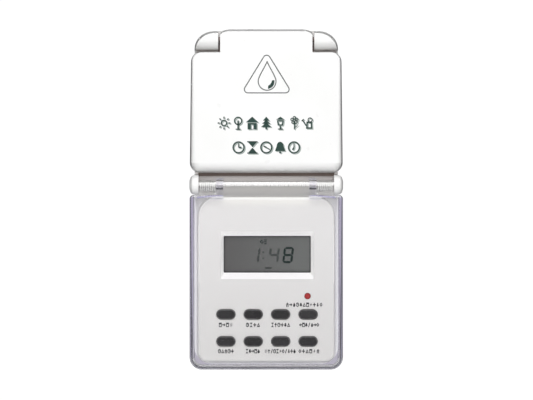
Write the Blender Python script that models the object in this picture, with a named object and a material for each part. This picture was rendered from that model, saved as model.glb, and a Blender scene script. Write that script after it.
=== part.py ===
"""Outdoor plug-in time switch: a mains outlet under a sprung rain lid, above a digital timer under a clear cover.

Frame: X to the right, Z up, and the front of the device faces -Y. The origin is the centre of the plug's end face,
from which the two pins stand out along +Y. All lengths are in metres.
"""

import math
from collections import namedtuple

import bmesh
import bpy
from mathutils import Matrix, Vector

MM = 0.001
GAP = 0.3 * MM  # left between pieces that touch

# Depths along Y, from the wall to the front
PLUG_PIN_TIP = 19.0 * MM
REAR_FACE = -17.0 * MM
REAR_FLOOR = -19.2 * MM
REAR_RIM = -35.4 * MM
FRONT_RIM = -36.6 * MM
TIMER_DECK = -51.0 * MM  # front plane of the casing round the timer
SOCKET_DECK = -53.0 * MM  # front plane of the casing round the outlet
PANEL_BACK = -51.3 * MM
PANEL_FRONT = -56.0 * MM
LID_BACK = -53.3 * MM
COVER_BACK = -48.4 * MM
FRONT = -62.0 * MM  # front plane of the lid and of the clear cover

# Front views, as half widths along X, ends along Z and corner radii
Shape = namedtuple("Shape", "foot_half head_half bottom top foot_radii head_radii")
CASE = Shape(30.5 * MM, 30.5 * MM, -107.2 * MM, 34.6 * MM, (7.0 * MM, 7.0 * MM), (8.2 * MM, 7.5 * MM))
LID = Shape(32.5 * MM, 32.0 * MM, -25.8 * MM, 26.1 * MM, (4.4 * MM, 4.4 * MM), (4.4 * MM, 4.4 * MM))
COVER = Shape(32.4 * MM, 32.4 * MM, -109.2 * MM, -35.4 * MM, (5.2 * MM, 5.2 * MM), (1.6 * MM, 1.6 * MM))
PANEL = Shape(29.2 * MM, 29.2 * MM, -106.2 * MM, -35.9 * MM, (4.2 * MM, 4.2 * MM), (8.5 * MM, 8.5 * MM))
CORNER_STEPS = 6
ROUND_STEPS = 4
LEAST_RADIUS = 0.2 * MM

CASE_WALL = 2.0 * MM
DECK_STEP = -26.6 * MM  # where the front plane steps back below the lid

LID_WALL = 1.8 * MM
LID_PLATE = 2.2 * MM
LID_EDGE_ROUND = 1.2 * MM
LID_LIP_ROUND = 5.0 * MM
TONGUE_HALF_WIDTH = 19.9 * MM
TONGUE_CORNER = (3.3 * MM, 1.5 * MM)
KNUCKLE_INNER = 20.3 * MM

LID_AXIS = Vector((0.0, -57.7 * MM, 30.5 * MM))
BARREL_RADIUS = 4.3 * MM

COVER_WALL = 1.5 * MM
COVER_PLATE = 1.8 * MM
COVER_EDGE_ROUND = 2.2 * MM
COVER_NOTCH_HALF_WIDTH = 18.2 * MM
COVER_NOTCH_BOTTOM = -37.5 * MM
COVER_LIP_DEPTH = 3.6 * MM

COVER_AXIS = Vector((0.0, -57.0 * MM, -30.7 * MM))
EYE_RADIUS = 2.6 * MM
EYE_SPAN = (18.2 * MM, 21.2 * MM)
LUG_RADIUS = 4.2 * MM
LUG_SPAN = (28.7 * MM, 30.5 * MM)
LUG_TIP = 32.5 * MM

HINGE_PIN_RADIUS = 1.0 * MM
HINGE_BORE_RADIUS = 1.35 * MM

COVER_COIL_RADIUS = 2.2 * MM
COVER_COIL_DROP = 0.85 * MM
LID_COIL_RADIUS = 2.1 * MM
WIRE_RADIUS = 0.25 * MM

# Outlet and plug
PIN_HALF_PITCH = 9.5 * MM
PLUG_PIN_RADIUS = 2.4 * MM
PIN_HOLE_RADIUS = 2.75 * MM
OUTLET_HOLE_RADIUS = 3.05 * MM
WELL_RADIUS = 19.8 * MM
WELL_OUTER = 21.6 * MM
WELL_FLANGE = 23.4 * MM
WELL_FLOOR = -38.5 * MM
WELL_FLOOR_BACK = -35.5 * MM
SPIGOT_RADIUS = 18.8 * MM
SPIGOT_BORE = 15.8 * MM
SPIGOT_END_WALL = 2.5 * MM
EARTH_STRIP_HALF_WIDTH = 3.3 * MM

# Timer
PANEL_PLATE = 2.0 * MM
DISPLAY_CENTRE_Z = -60.5 * MM
DISPLAY_HALF = (18.5 * MM, 7.55 * MM)
DISPLAY_BEVEL = 2.4 * MM
BUTTON_COLUMNS = (-17.5 * MM, -5.85 * MM, 5.85 * MM, 17.5 * MM)
BUTTON_ROWS = (-85.8 * MM, -97.2 * MM)
BUTTON_HALF = (4.05 * MM, 2.1 * MM)
BUTTON_FRONT = -57.3 * MM
BUTTON_TRAVEL = 0.8 * MM
BUTTON_NAMES = (("week", "hour", "minute", "recall"), ("clock", "timer", "mode", "random"))
RESET_CENTRE = (17.5 * MM, -78.0 * MM)
RESET_RADIUS = 1.35 * MM

SCREW_ROWS = ((25.0 * MM, 26.0 * MM), (24.2 * MM, -101.2 * MM))  # half pitch and height of each pair


# ---------------------------------------------------------------- materials

def make_material(name, colour, roughness, metallic=0.0, alpha=1.0):
    material = bpy.data.materials.new(name)
    material.use_nodes = True
    shader = material.node_tree.nodes["Principled BSDF"]
    shader.inputs["Base Color"].default_value = (*colour, 1.0)
    shader.inputs["Roughness"].default_value = roughness
    shader.inputs["Metallic"].default_value = metallic
    shader.inputs["Alpha"].default_value = alpha
    return material


def make_materials():
    return {
        "white": make_material("white_plastic", (0.86, 0.86, 0.85), 0.35),
        "panel": make_material("panel_plastic", (0.80, 0.80, 0.79), 0.45),
        "clear": make_material("clear_plastic", (0.90, 0.90, 0.96), 0.05, alpha=0.3),
        "steel": make_material("steel", (0.72, 0.72, 0.72), 0.25, metallic=1.0),
        "nickel": make_material("nickel", (0.76, 0.74, 0.70), 0.2, metallic=1.0),
        "brass": make_material("brass", (0.78, 0.62, 0.30), 0.3, metallic=1.0),
        "rubber": make_material("button_rubber", (0.05, 0.05, 0.055), 0.5),
        "red": make_material("red_plastic", (0.50, 0.06, 0.05), 0.4),
        "seal": make_material("seal_rubber", (0.30, 0.30, 0.31), 0.7),
        "display": make_material("display_glass", (0.10, 0.11, 0.10), 0.15),
        "window": make_material("window_plastic", (0.90, 0.92, 0.92), 0.03, alpha=0.3),
        "board": make_material("circuit_board", (0.05, 0.22, 0.10), 0.5),
        "black": make_material("black_plastic", (0.03, 0.03, 0.03), 0.4),
        "blue": make_material("blue_plastic", (0.04, 0.10, 0.45), 0.35),
        "yellow": make_material("yellow_plastic", (0.75, 0.60, 0.10), 0.4),
        "brown": make_material("brown_sleeve", (0.20, 0.09, 0.04), 0.5),
    }


# ---------------------------------------------------------------- outlines

def arc(centre, radii, start, end, steps):
    """Points of an elliptic arc from start to end, in degrees, both ends included."""
    points = []
    for step in range(steps + 1):
        angle = math.radians(start + (end - start) * step / steps)
        points.append((centre[0] + radii[0] * math.cos(angle), centre[1] + radii[1] * math.sin(angle)))
    return points


def mirrored(right_half):
    """A closed outline from its right half, which runs from the bottom to the top."""
    return right_half + [(-x, z) for x, z in reversed(right_half)]


def circle(radius, steps, centre=(0.0, 0.0)):
    return arc(centre, (radius, radius), 0, 360, steps)[:-1]


def stadium(half_length, half_height, centre, steps=6):
    """A button's outline: straight above and below, with round ends."""
    reach = half_length - half_height
    right = arc((centre[0] + reach, centre[1]), (half_height, half_height), -90, 90, steps)
    left = arc((centre[0] - reach, centre[1]), (half_height, half_height), 90, 270, steps)
    return right + left


def shape_outline(shape, shrink=0.0):
    """The outline of a rounded shape, moved inwards by shrink; every shrink gives the same number of points."""
    corners = []
    for end, half, edge, radii in ((-1, shape.foot_half, shape.bottom, shape.foot_radii),
                                   (1, shape.head_half, shape.top, shape.head_radii)):
        round_x = max(radii[0] - shrink, LEAST_RADIUS)
        round_z = max(radii[1] - shrink, LEAST_RADIUS)
        centre = (half - shrink - round_x, edge - end * (shrink + round_z))
        start = -90 if end < 0 else 0
        corners += arc(centre, (round_x, round_z), start, start + 90, CORNER_STEPS)
    return mirrored(corners)


# ---------------------------------------------------------------- solids

def object_from(name, mesh_builder, material=None):
    """A new object whose mesh is the given bmesh, with its faces turned outwards."""
    bmesh.ops.recalc_face_normals(mesh_builder, faces=mesh_builder.faces)
    mesh = bpy.data.meshes.new(name)
    mesh_builder.to_mesh(mesh)
    mesh_builder.free()
    made = bpy.data.objects.new(name, mesh)
    bpy.context.scene.collection.objects.link(made)
    if material:
        made.data.materials.append(material)
    return made


def loft(name, rings, material=None):
    """A closed solid through rings of 3-D points with equal counts; the first and last ring are capped."""
    builder = bmesh.new()
    loops = [[builder.verts.new(point) for point in ring] for ring in rings]
    for lower, upper in zip(loops, loops[1:]):
        for i in range(len(lower)):
            after = (i + 1) % len(lower)
            builder.faces.new((lower[i], lower[after], upper[after], upper[i]))
    builder.faces.new(loops[0])
    builder.faces.new(reversed(loops[-1]))
    return object_from(name, builder, material)


def at_depth(outline, y):
    return [(x, y, z) for x, z in outline]


def prism_y(name, outline, y_start, y_end, material=None):
    """An XZ outline pulled along Y."""
    return loft(name, [at_depth(outline, y_start), at_depth(outline, y_end)], material)


def prism_x(name, profile, x_start, x_end, material=None):
    """A YZ profile pulled along X."""
    rings = [[(x, y, z) for y, z in profile] for x in (x_start, x_end)]
    return loft(name, rings, material)


def block(name, x_range, y_range, z_range, material=None):
    outline = [(x_range[0], z_range[0]), (x_range[1], z_range[0]), (x_range[1], z_range[1]), (x_range[0], z_range[1])]
    return prism_y(name, outline, y_range[0], y_range[1], material)


def rod_y(name, radius, centre, y_start, y_end, steps=20, material=None):
    return prism_y(name, circle(radius, steps, centre), y_start, y_end, material)


def rod_x(name, radius, axis, x_start, x_end, steps=16, material=None):
    return prism_x(name, circle(radius, steps, (axis.y, axis.z)), x_start, x_end, material)


def lathe_y(name, profile, centre, steps, material=None):
    """A turned solid about a line along Y through centre; the profile is (radius, y) from one end to the other."""
    rings = [at_depth(circle(radius, steps, centre), y) for radius, y in profile]
    return loft(name, rings, material)


def tray(name, shape, rounds, back, front, wall, plate, material=None):
    """A shallow box open at the back, its front edge rounded by rounds, one radius for each outline point."""

    def ring(shrinks, depths):
        return [(shape_outline(shape, shrink)[i][0], y, shape_outline(shape, shrink)[i][1])
                for i, (shrink, y) in enumerate(zip(shrinks, depths))]

    quarter = [math.radians(90 * step / ROUND_STEPS) for step in range(ROUND_STEPS + 1)]
    inner_rounds = [max(r - wall, LEAST_RADIUS) for r in rounds]
    rings = []
    for turn in reversed(quarter):
        rings.append(ring([r * (1 - math.cos(turn)) for r in rounds], [front + r * (1 - math.sin(turn)) for r in rounds]))
    rings.append(ring([0.0] * len(rounds), [back] * len(rounds)))
    rings.append(ring([wall] * len(rounds), [back] * len(rounds)))
    for turn in quarter:
        rings.append(ring([wall + r * (1 - math.cos(turn)) for r in inner_rounds],
                          [front + plate + r * (1 - math.sin(turn)) for r in inner_rounds]))
    return loft(name, rings, material)


def boolean(target, others, operation):
    """Joins others to the target, cuts them from it or keeps what they share, and removes them."""
    for other in others:
        modifier = target.modifiers.new(operation.title(), "BOOLEAN")
        modifier.operation = operation
        modifier.object = other
        modifier.solver = "EXACT"
        bpy.context.view_layer.update()
        evaluated = target.evaluated_get(bpy.context.evaluated_depsgraph_get())
        mesh = bpy.data.meshes.new_from_object(evaluated)
        target.modifiers.clear()
        target.data = mesh
        bpy.data.objects.remove(other)
    return target


def cut(target, *others):
    return boolean(target, others, "DIFFERENCE")


def join(target, *others):
    return boolean(target, others, "UNION")


def keep_shared(target, *others):
    return boolean(target, others, "INTERSECT")


def wire(name, points, radius, material, cyclic=False):
    """A round wire along the points, as a curve with a bevel and closed ends."""
    curve = bpy.data.curves.new(name, "CURVE")
    curve.dimensions = "3D"
    curve.bevel_depth = radius
    curve.bevel_resolution = 1
    curve.use_fill_caps = True
    spline = curve.splines.new("POLY")
    spline.points.add(len(points) - 1)
    for place, point in zip(spline.points, points):
        place.co = (*point, 1.0)
    spline.use_cyclic_u = cyclic
    curve.materials.append(material)
    made = bpy.data.objects.new(name, curve)
    bpy.context.scene.collection.objects.link(made)
    return made


def smooth_route(corners, steps):
    """Points on a Catmull-Rom curve through the corners, steps of them for each stretch."""
    padded = [corners[0], *corners, corners[-1]]
    points = []
    for i in range(len(corners) - 1):
        a, b, c, d = (Vector(p) for p in padded[i:i + 4])
        for step in range(steps):
            t = step / steps
            bend = (2 * a - 5 * b + 4 * c - d) * t * t + (3 * b - a - 3 * c + d) * t ** 3
            points.append(tuple(0.5 * (2 * b + (c - a) * t + bend)))
    points.append(tuple(corners[-1]))
    return points


# ---------------------------------------------------------------- casing

def screw_places():
    return [(side * x, z) for x, z in SCREW_ROWS for side in (-1, 1)]


def make_rear_housing(materials):
    """Back shell with the round plug spigot, its inner collar and four screw sleeves."""
    rings = [
        at_depth(shape_outline(CASE), REAR_RIM),
        at_depth(shape_outline(CASE, 0.6 * MM), -20.0 * MM),
        at_depth(shape_outline(CASE, 1.3 * MM), -17.7 * MM),
        at_depth(shape_outline(CASE, 2.6 * MM), REAR_FACE),
    ]
    shell = loft("rear_housing", rings, materials["white"])
    hollow = loft("hollow", [
        at_depth(shape_outline(CASE, CASE_WALL), REAR_RIM - 1 * MM),
        at_depth(shape_outline(CASE, CASE_WALL + 0.6 * MM), REAR_FLOOR),
    ])
    cut(shell, hollow)
    spigot = lathe_y("spigot", [
        (SPIGOT_RADIUS + 2 * MM, -29.0 * MM),
        (SPIGOT_RADIUS + 2 * MM, REAR_FACE - 1 * MM),
        (SPIGOT_RADIUS, REAR_FACE + 0.4 * MM),
        (SPIGOT_RADIUS, -1.0 * MM),
        (SPIGOT_RADIUS - 1.0 * MM, 0.0),
    ], (0, 0), 40)
    join(shell, spigot)
    cut(
        shell,
        rod_y("bore", SPIGOT_BORE, (0, 0), -40 * MM, -SPIGOT_END_WALL, 32),
        rod_y("collar_relief", SPIGOT_RADIUS + 3 * MM, (0, 0), -40 * MM, -27 * MM, 32),
    )
    for x, z in screw_places():
        join(shell, rod_y("sleeve", 3.5 * MM, (x, z), -29.0 * MM, -18.0 * MM, 16))
        cut(
            shell,
            rod_y("head_bore", 2.9 * MM, (x, z), -26.8 * MM, -16.0 * MM, 14),
            rod_y("shank_hole", 1.7 * MM, (x, z), -30.0 * MM, -26.0 * MM, 12),
        )
    for side in (-1, 1):
        strip = EARTH_STRIP_HALF_WIDTH + 0.4 * MM
        groove_x = sorted((side * 17.2 * MM, side * 20 * MM))
        slot_z = sorted((side * 14.0 * MM, side * 20 * MM))
        cut(
            shell,
            rod_y("pin_hole", PIN_HOLE_RADIUS, (side * PIN_HALF_PITCH, 0), -4 * MM, 1 * MM, 16),
            block("guide_groove", groove_x, (-14 * MM, 1 * MM), (-2.7 * MM, 2.7 * MM)),
            block("earth_slot", (-strip, strip), (-16.6 * MM, -2.9 * MM), slot_z),
        )
    cut(shell, rod_y("earth_pin_hole", PIN_HOLE_RADIUS, (0, 10 * MM), -4 * MM, 1 * MM, 16))
    return shell


def knuckle_profile(axis, radius, neck_back, steps=14):
    """A round barrel in the YZ plane, with a neck of its own height running back to the casing."""
    round_part = arc((axis.y, axis.z), (radius, radius), 90, 270, steps)
    return round_part + [(neck_back, axis.z - radius), (neck_back, axis.z + radius)]


def make_front_housing(materials):
    """Front shell: outlet hole, timer bay, barrels for the lid's pin, lugs for the cover's pin and screw posts."""
    outline = shape_outline(CASE)
    shell = prism_y("front_housing", outline, FRONT_RIM, SOCKET_DECK, materials["white"])
    wide = 40 * MM
    step_back = block("step", (-wide, wide), (TIMER_DECK, -70 * MM), (-120 * MM, DECK_STEP))
    hollow = prism_y("hollow", shape_outline(CASE, CASE_WALL), FRONT_RIM + 1 * MM, TIMER_DECK + 2.2 * MM)
    cut(shell, step_back, hollow)
    for side in (-1, 1):
        near = knuckle_profile(LID_AXIS, BARREL_RADIUS, SOCKET_DECK + 0.5 * MM)
        knuckle = prism_x("knuckle", near, side * KNUCKLE_INNER, side * (CASE.foot_half + 1 * MM))
        keep_shared(knuckle, prism_y("limit", outline, -40 * MM, -70 * MM))
        lug_axis = COVER_AXIS + Vector((0, 0, -0.4 * MM))
        lug = prism_x("lug", knuckle_profile(lug_axis, LUG_RADIUS, TIMER_DECK + 0.5 * MM, 12),
                      side * LUG_SPAN[0], side * LUG_SPAN[1])
        rings = []
        for x, radius in ((LUG_SPAN[1] - 0.5 * MM, 4.2), (31.4 * MM, 3.9), (32.1 * MM, 3.1), (LUG_TIP, 1.8)):
            rings.append([(side * x, y, z) for y, z in circle(radius * MM, 20, (lug_axis.y, lug_axis.z))])
        join(shell, knuckle, lug, loft("lug_dome", rings))
        cut(
            shell,
            rod_x("lid_pin_bore", HINGE_BORE_RADIUS, LID_AXIS, side * 15 * MM, side * 28.5 * MM),
            rod_x("cover_pin_bore", HINGE_BORE_RADIUS, COVER_AXIS, side * 25 * MM, side * 31.5 * MM),
        )
    for x, z in screw_places():
        join(shell, rod_y("post", 3.2 * MM, (x, z), -29.3 * MM, -49.5 * MM, 16))
    cut(
        shell,
        rod_y("outlet_hole", WELL_OUTER + GAP, (0, 0), -40 * MM, -60 * MM, 40),
        block("timer_bay", (-21.2 * MM, 21.2 * MM), (-40 * MM, -60 * MM), (-100.9 * MM, -38.5 * MM)),
    )
    for x, z in screw_places():
        cut(shell, rod_y("thread_hole", 1.35 * MM, (x, z), -25 * MM, -46.0 * MM, 12))
    return shell


def make_gasket(materials):
    ring = prism_y("housing_gasket", shape_outline(CASE, GAP), REAR_RIM - GAP, FRONT_RIM + GAP, materials["seal"])
    return cut(ring, prism_y("inside", shape_outline(CASE, CASE_WALL - GAP), -30 * MM, -40 * MM))


def make_screws(materials):
    for number, place in enumerate(screw_places(), 1):
        screw = lathe_y(f"housing_screw_{number}", [
            (1.05 * MM, -40.5 * MM),
            (1.05 * MM, -26.2 * MM),
            (2.5 * MM, -26.2 * MM),
            (2.5 * MM, -25.0 * MM),
            (1.9 * MM, -24.4 * MM),
        ], place, 12, materials["steel"])
        cut(screw, block("slot_a", (place[0] - 1.4 * MM, place[0] + 1.4 * MM), (-25.2 * MM, -24 * MM),
                         (place[1] - 0.35 * MM, place[1] + 0.35 * MM)))
        cut(screw, block("slot_b", (place[0] - 0.35 * MM, place[0] + 0.35 * MM), (-25.2 * MM, -24 * MM),
                         (place[1] - 1.4 * MM, place[1] + 1.4 * MM)))


# ---------------------------------------------------------------- plug and outlet

def make_plug_pins(materials):
    for name, side, tail_end in (("plug_pin_live", -1, -9.0), ("plug_pin_neutral", 1, -13.6)):
        lathe_y(name, [
            (1.4 * MM, tail_end * MM),
            (1.4 * MM, -6.0 * MM),
            (4.0 * MM, -6.0 * MM),
            (4.0 * MM, -SPIGOT_END_WALL - GAP),
            (PLUG_PIN_RADIUS, -SPIGOT_END_WALL - GAP),
            (PLUG_PIN_RADIUS, 17.0 * MM),
            (2.05 * MM, 18.2 * MM),
            (1.2 * MM, PLUG_PIN_TIP),
        ], (side * PIN_HALF_PITCH, 0), 16, materials["nickel"])


def strip_profile(points, thickness):
    """A bent strip's YZ section: the given edge, and the same edge moved outwards by its thickness."""
    edge = [Vector(p) for p in points]
    other = []
    for i, here in enumerate(edge):
        before = (here - edge[i - 1]).normalized() if i else None
        after = (edge[i + 1] - here).normalized() if i + 1 < len(edge) else None
        before, after = before or after, after or before
        normals = [Vector((-d.y, d.x)) for d in (before, after)]
        middle = (normals[0] + normals[1]).normalized()
        other.append(here + middle * (thickness / max(0.4, middle.dot(normals[0]))))
    return [tuple(p) for p in edge] + [tuple(p) for p in reversed(other)]


def make_plug_earth_strip(materials):
    """One strip across the inside of the spigot, with a sprung leg in each of its side slots."""
    half = [(-15.6, 0.0), (-15.6, 16.9), (-10.0, 17.2), (-6.6, 17.5), (-3.4, 16.9)]
    lower = [(y * MM, -z * MM) for y, z in reversed(half[1:])]
    upper = [(y * MM, z * MM) for y, z in half[1:]]
    profile = strip_profile(lower + upper, 0.9 * MM)
    reach = EARTH_STRIP_HALF_WIDTH
    return prism_x("plug_earth_strip", profile, -reach, reach, materials["brass"])


def make_socket_insert(materials):
    """The round outlet well: flange, side wall, floor with pin holes, guide ribs, clip slots and shutter post."""
    insert = lathe_y("socket_insert", [
        (WELL_OUTER, WELL_FLOOR_BACK),
        (WELL_OUTER, SOCKET_DECK - GAP),
        (WELL_FLANGE, SOCKET_DECK - GAP),
        (WELL_FLANGE, PANEL_FRONT + 0.5 * MM),
        (WELL_FLANGE - 0.5 * MM, PANEL_FRONT),
        (WELL_RADIUS + 0.5 * MM, PANEL_FRONT),
        (WELL_RADIUS, PANEL_FRONT + 0.5 * MM),
        (WELL_RADIUS, WELL_FLOOR),
    ], (0, 0), 40, materials["white"])
    join(insert, rod_y("shutter_post", 2.2 * MM, (0, 0), WELL_FLOOR_BACK - 0.5 * MM, -32.2 * MM, 14))
    for side in (-1, 1):
        rib_x = sorted((side * 17.6 * MM, side * 20.4 * MM))
        slot_z = sorted((side * 18.8 * MM, side * 23 * MM))
        join(insert, block("guide_rib", rib_x, (-54 * MM, -38 * MM), (-2.4 * MM, 2.4 * MM)))
        cut(
            insert,
            rod_y("pin_hole", OUTLET_HOLE_RADIUS, (side * PIN_HALF_PITCH, 0), -42 * MM, -30 * MM, 16),
            block("clip_slot", (-3.8 * MM, 3.8 * MM), (-52 * MM, -34 * MM), slot_z),
        )
    return insert


def make_outlet_contacts(materials):
    """Forked sleeves that grip the pins of the plug that is put in, and the earth clip across the well."""
    for name, side in (("socket_contact_live", -1), ("socket_contact_neutral", 1)):
        leaf = [(-31.9, 3.6), (-30.6, 2.5), (-24.0, 2.45), (-16.4, 3.0)]
        upper = [(y * MM, z * MM) for y, z in leaf]
        lower = [(y * MM, -z * MM) for y, z in reversed(leaf)]
        profile = strip_profile(upper + lower, 0.7 * MM)
        centre = side * PIN_HALF_PITCH
        prism_x(name, profile, centre - 2.8 * MM, centre + 2.8 * MM, materials["brass"])
    half = [(-30.5, 20.2), (-40.0, 19.4), (-46.5, 18.2), (-51.2, 19.8)]
    upper = [(y * MM, z * MM) for y, z in half]
    lower = [(y * MM, -z * MM) for y, z in reversed(half)]
    profile = strip_profile(lower + upper, -0.8 * MM)
    reach = EARTH_STRIP_HALF_WIDTH
    prism_x("socket_earth_clip", profile, -reach, reach, materials["nickel"])
    rod_y("earth_link", 1.5 * MM, (0, 0), -29.4 * MM, -16.8 * MM, 12, materials["brass"])


def make_contact_carrier(materials):
    """Disc inside the spigot's collar that holds the contact sleeves and lets the wires through."""
    carrier = rod_y("contact_carrier", SPIGOT_BORE - 0.4 * MM, (0, 0), -26.6 * MM, -23.6 * MM, 28, materials["black"])
    for side in (-1, 1):
        centre = side * PIN_HALF_PITCH
        cut(carrier, block("contact_window", (centre - 3.2 * MM, centre + 3.2 * MM), (-28 * MM, -22 * MM),
                           (-3.9 * MM, 3.9 * MM)))
    cut(
        carrier,
        rod_y("link_hole", 1.9 * MM, (0, 0), -28 * MM, -22 * MM, 12),
        block("wire_notch", (-12 * MM, 12 * MM), (-28 * MM, -22 * MM), (-20 * MM, -8.2 * MM)),
    )
    return carrier


def make_shutter(materials):
    """Child-safety shutter: a hub on the post behind the well's floor, with a blade over each pin hole."""
    blade_half_angle, blade_tip, blade_root, hub = 19, 13.4 * MM, 3.0 * MM, 4.2 * MM
    shutter = rod_y("shutter", hub, (0, 0), -34.6 * MM, -32.7 * MM, 20, materials["yellow"])
    for turn in (0, 180):
        tip = arc((0, 0), (blade_tip, blade_tip), turn - blade_half_angle, turn + blade_half_angle, 6)
        root = arc((0, 0), (blade_root, blade_root), turn + 30, turn - 30, 2)
        join(shutter, prism_y("blade", tip + root, -34.6 * MM, -32.7 * MM))
    cut(shutter, rod_y("post_hole", 2.6 * MM, (0, 0), -36 * MM, -31 * MM, 16))
    shutter.location = (0, 0, 0)
    corners = [(5.0, -12.5), (2.2, -15.2), (0.6, -13.4), (2.4, -10.2), (9.0, -4.6)]
    route = smooth_route([(x * MM, -33.65 * MM, z * MM) for x, z in corners], 4)
    wire("shutter_spring", route, WIRE_RADIUS, materials["steel"])
    return shutter


# ---------------------------------------------------------------- socket lid

def lid_rounds():
    """Edge radius at each point of the lid's outline: a wide finger lip below, a small edge elsewhere."""
    rounds = []
    for _, z in shape_outline(LID):
        share = min(1.0, max(0.0, (z - LID.bottom) / LID.foot_radii[1]))
        blend = share * share * (3 - 2 * share)
        rounds.append(LID_LIP_ROUND + (LID_EDGE_ROUND - LID_LIP_ROUND) * blend)
    return rounds


def make_socket_lid(materials):
    """White rain lid: a shallow tray with a hinge tongue between the casing's barrels."""
    lid = tray("socket_lid", LID, lid_rounds(), LID_BACK, FRONT, LID_WALL, LID_PLATE, materials["white"])
    back = LID_AXIS.y + BARREL_RADIUS
    foot = LID.top - 1.2 * MM
    profile = [(FRONT, foot)] + arc((LID_AXIS.y, LID_AXIS.z), (BARREL_RADIUS, BARREL_RADIUS), 180, 0, 14)
    profile += [(back, foot)]
    tongue = prism_x("tongue", profile, -TONGUE_HALF_WIDTH, TONGUE_HALF_WIDTH)
    top = LID_AXIS.z + BARREL_RADIUS
    front_view = Shape(TONGUE_HALF_WIDTH, TONGUE_HALF_WIDTH, LID.bottom, top, (MM, MM), TONGUE_CORNER)
    join(lid, keep_shared(tongue, prism_y("limit", shape_outline(front_view), LID_BACK + MM, FRONT - MM)))
    spring_room = 8.5 * MM
    cut(
        lid,
        rod_x("pin_bore", HINGE_BORE_RADIUS, LID_AXIS, -25 * MM, 25 * MM),
        rod_x("coil_room", 3.0 * MM, LID_AXIS, -spring_room, spring_room),
        block("coil_mouth", (-spring_room, spring_room), (LID_AXIS.y, -50 * MM),
              (LID_AXIS.z - 3.0 * MM, LID_AXIS.z + 2.6 * MM)),
    )
    return lid


def make_lid_seal(materials):
    ring = rod_y("lid_seal", 21.9 * MM, (0, 0), -59.5 * MM, PANEL_FRONT - GAP, 36, materials["seal"])
    return cut(ring, rod_y("inside", 20.4 * MM, (0, 0), -62 * MM, -54 * MM, 36))


def coil(axis, radius, x_start, x_end, turns, steps, phase=0.0):
    """Points of a helix about a line along X."""
    points = []
    for i in range(turns * steps + 1):
        angle = phase + 2 * math.pi * i / steps
        x = x_start + (x_end - x_start) * i / (turns * steps)
        points.append((x, axis.y + radius * math.cos(angle), axis.z + radius * math.sin(angle)))
    return points


def make_lid_hinge(materials):
    rod_x("lid_hinge_pin", HINGE_PIN_RADIUS, LID_AXIS, -28 * MM, 28 * MM, 14, materials["steel"])
    turns = coil(LID_AXIS, LID_COIL_RADIUS, -7.0 * MM, 7.0 * MM, 9, 8, math.pi)
    casing_leg = [(-7.0 * MM, LID_AXIS.y - 1.2 * MM, LID_AXIS.z + 2.2 * MM)]
    lid_leg = [(7.2 * MM, LID_AXIS.y - LID_COIL_RADIUS, LID_AXIS.z - 1.6 * MM)]
    wire("lid_spring", casing_leg + turns + lid_leg, WIRE_RADIUS, materials["steel"])


# ---------------------------------------------------------------- clear cover

def make_timer_cover(materials):
    """Clear cover over the timer: a tray with a notch between two eyes that turn on the hinge pin."""
    rounds = []
    for _, z in shape_outline(COVER):
        near_hinge = z > COVER.top - 3 * MM
        rounds.append(1.2 * MM if near_hinge else COVER_EDGE_ROUND)
    cover = tray("timer_cover", COVER, rounds, COVER_BACK, FRONT, COVER_WALL, COVER_PLATE, materials["clear"])
    wide = 35 * MM
    lip_back = FRONT + COVER_LIP_DEPTH
    inner_half = COVER.foot_half - COVER_WALL
    cut(
        cover,
        block("notch", (-COVER_NOTCH_HALF_WIDTH, COVER_NOTCH_HALF_WIDTH), (-70 * MM, -40 * MM),
              (COVER_NOTCH_BOTTOM, -30 * MM)),
        block("behind_lip", (-inner_half, inner_half), (lip_back, -40 * MM), (-40 * MM, -30 * MM)),
        block("lug_room", (-wide, wide), (lip_back, -40 * MM), (COVER.top - 1.0 * MM, -30 * MM)),
    )
    for side in (-1, 1):
        eye = arc((COVER_AXIS.y, COVER_AXIS.z), (EYE_RADIUS, EYE_RADIUS), 170, -50, 14)
        arm = [(lip_back - 0.2 * MM, COVER.top - 1.2 * MM), (FRONT + 0.8 * MM, COVER.top - 1.2 * MM)]
        join(cover, prism_x("eye", eye + arm, side * EYE_SPAN[0], side * EYE_SPAN[1]))
    return cut(cover, rod_x("pin_bore", HINGE_BORE_RADIUS, COVER_AXIS, -25 * MM, 25 * MM))


def make_cover_hinge(materials):
    rod_x("cover_hinge_pin", HINGE_PIN_RADIUS, COVER_AXIS, -31.2 * MM, 31.2 * MM, 14, materials["steel"])
    axis = COVER_AXIS + Vector((0, 0, -COVER_COIL_DROP))
    for name, side in (("cover_spring_left", -1), ("cover_spring_right", 1)):
        turns = coil(axis, COVER_COIL_RADIUS, side * 28.2 * MM, side * 21.9 * MM, 9, 8)
        casing_leg = [(side * 28.2 * MM, -51.8 * MM, axis.z - 1.4 * MM)]
        last = turns[-1]
        cover_leg = [(last[0], last[1] - 1.0 * MM, COVER.top + 0.7 * MM), (last[0], -59.2 * MM, COVER.top + 0.7 * MM)]
        wire(name, casing_leg + turns + cover_leg, WIRE_RADIUS, materials["steel"])


# ---------------------------------------------------------------- timer module

def button_places():
    for row, names in zip(BUTTON_ROWS, BUTTON_NAMES):
        for column, name in zip(BUTTON_COLUMNS, names):
            yield name, (column, row)


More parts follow.
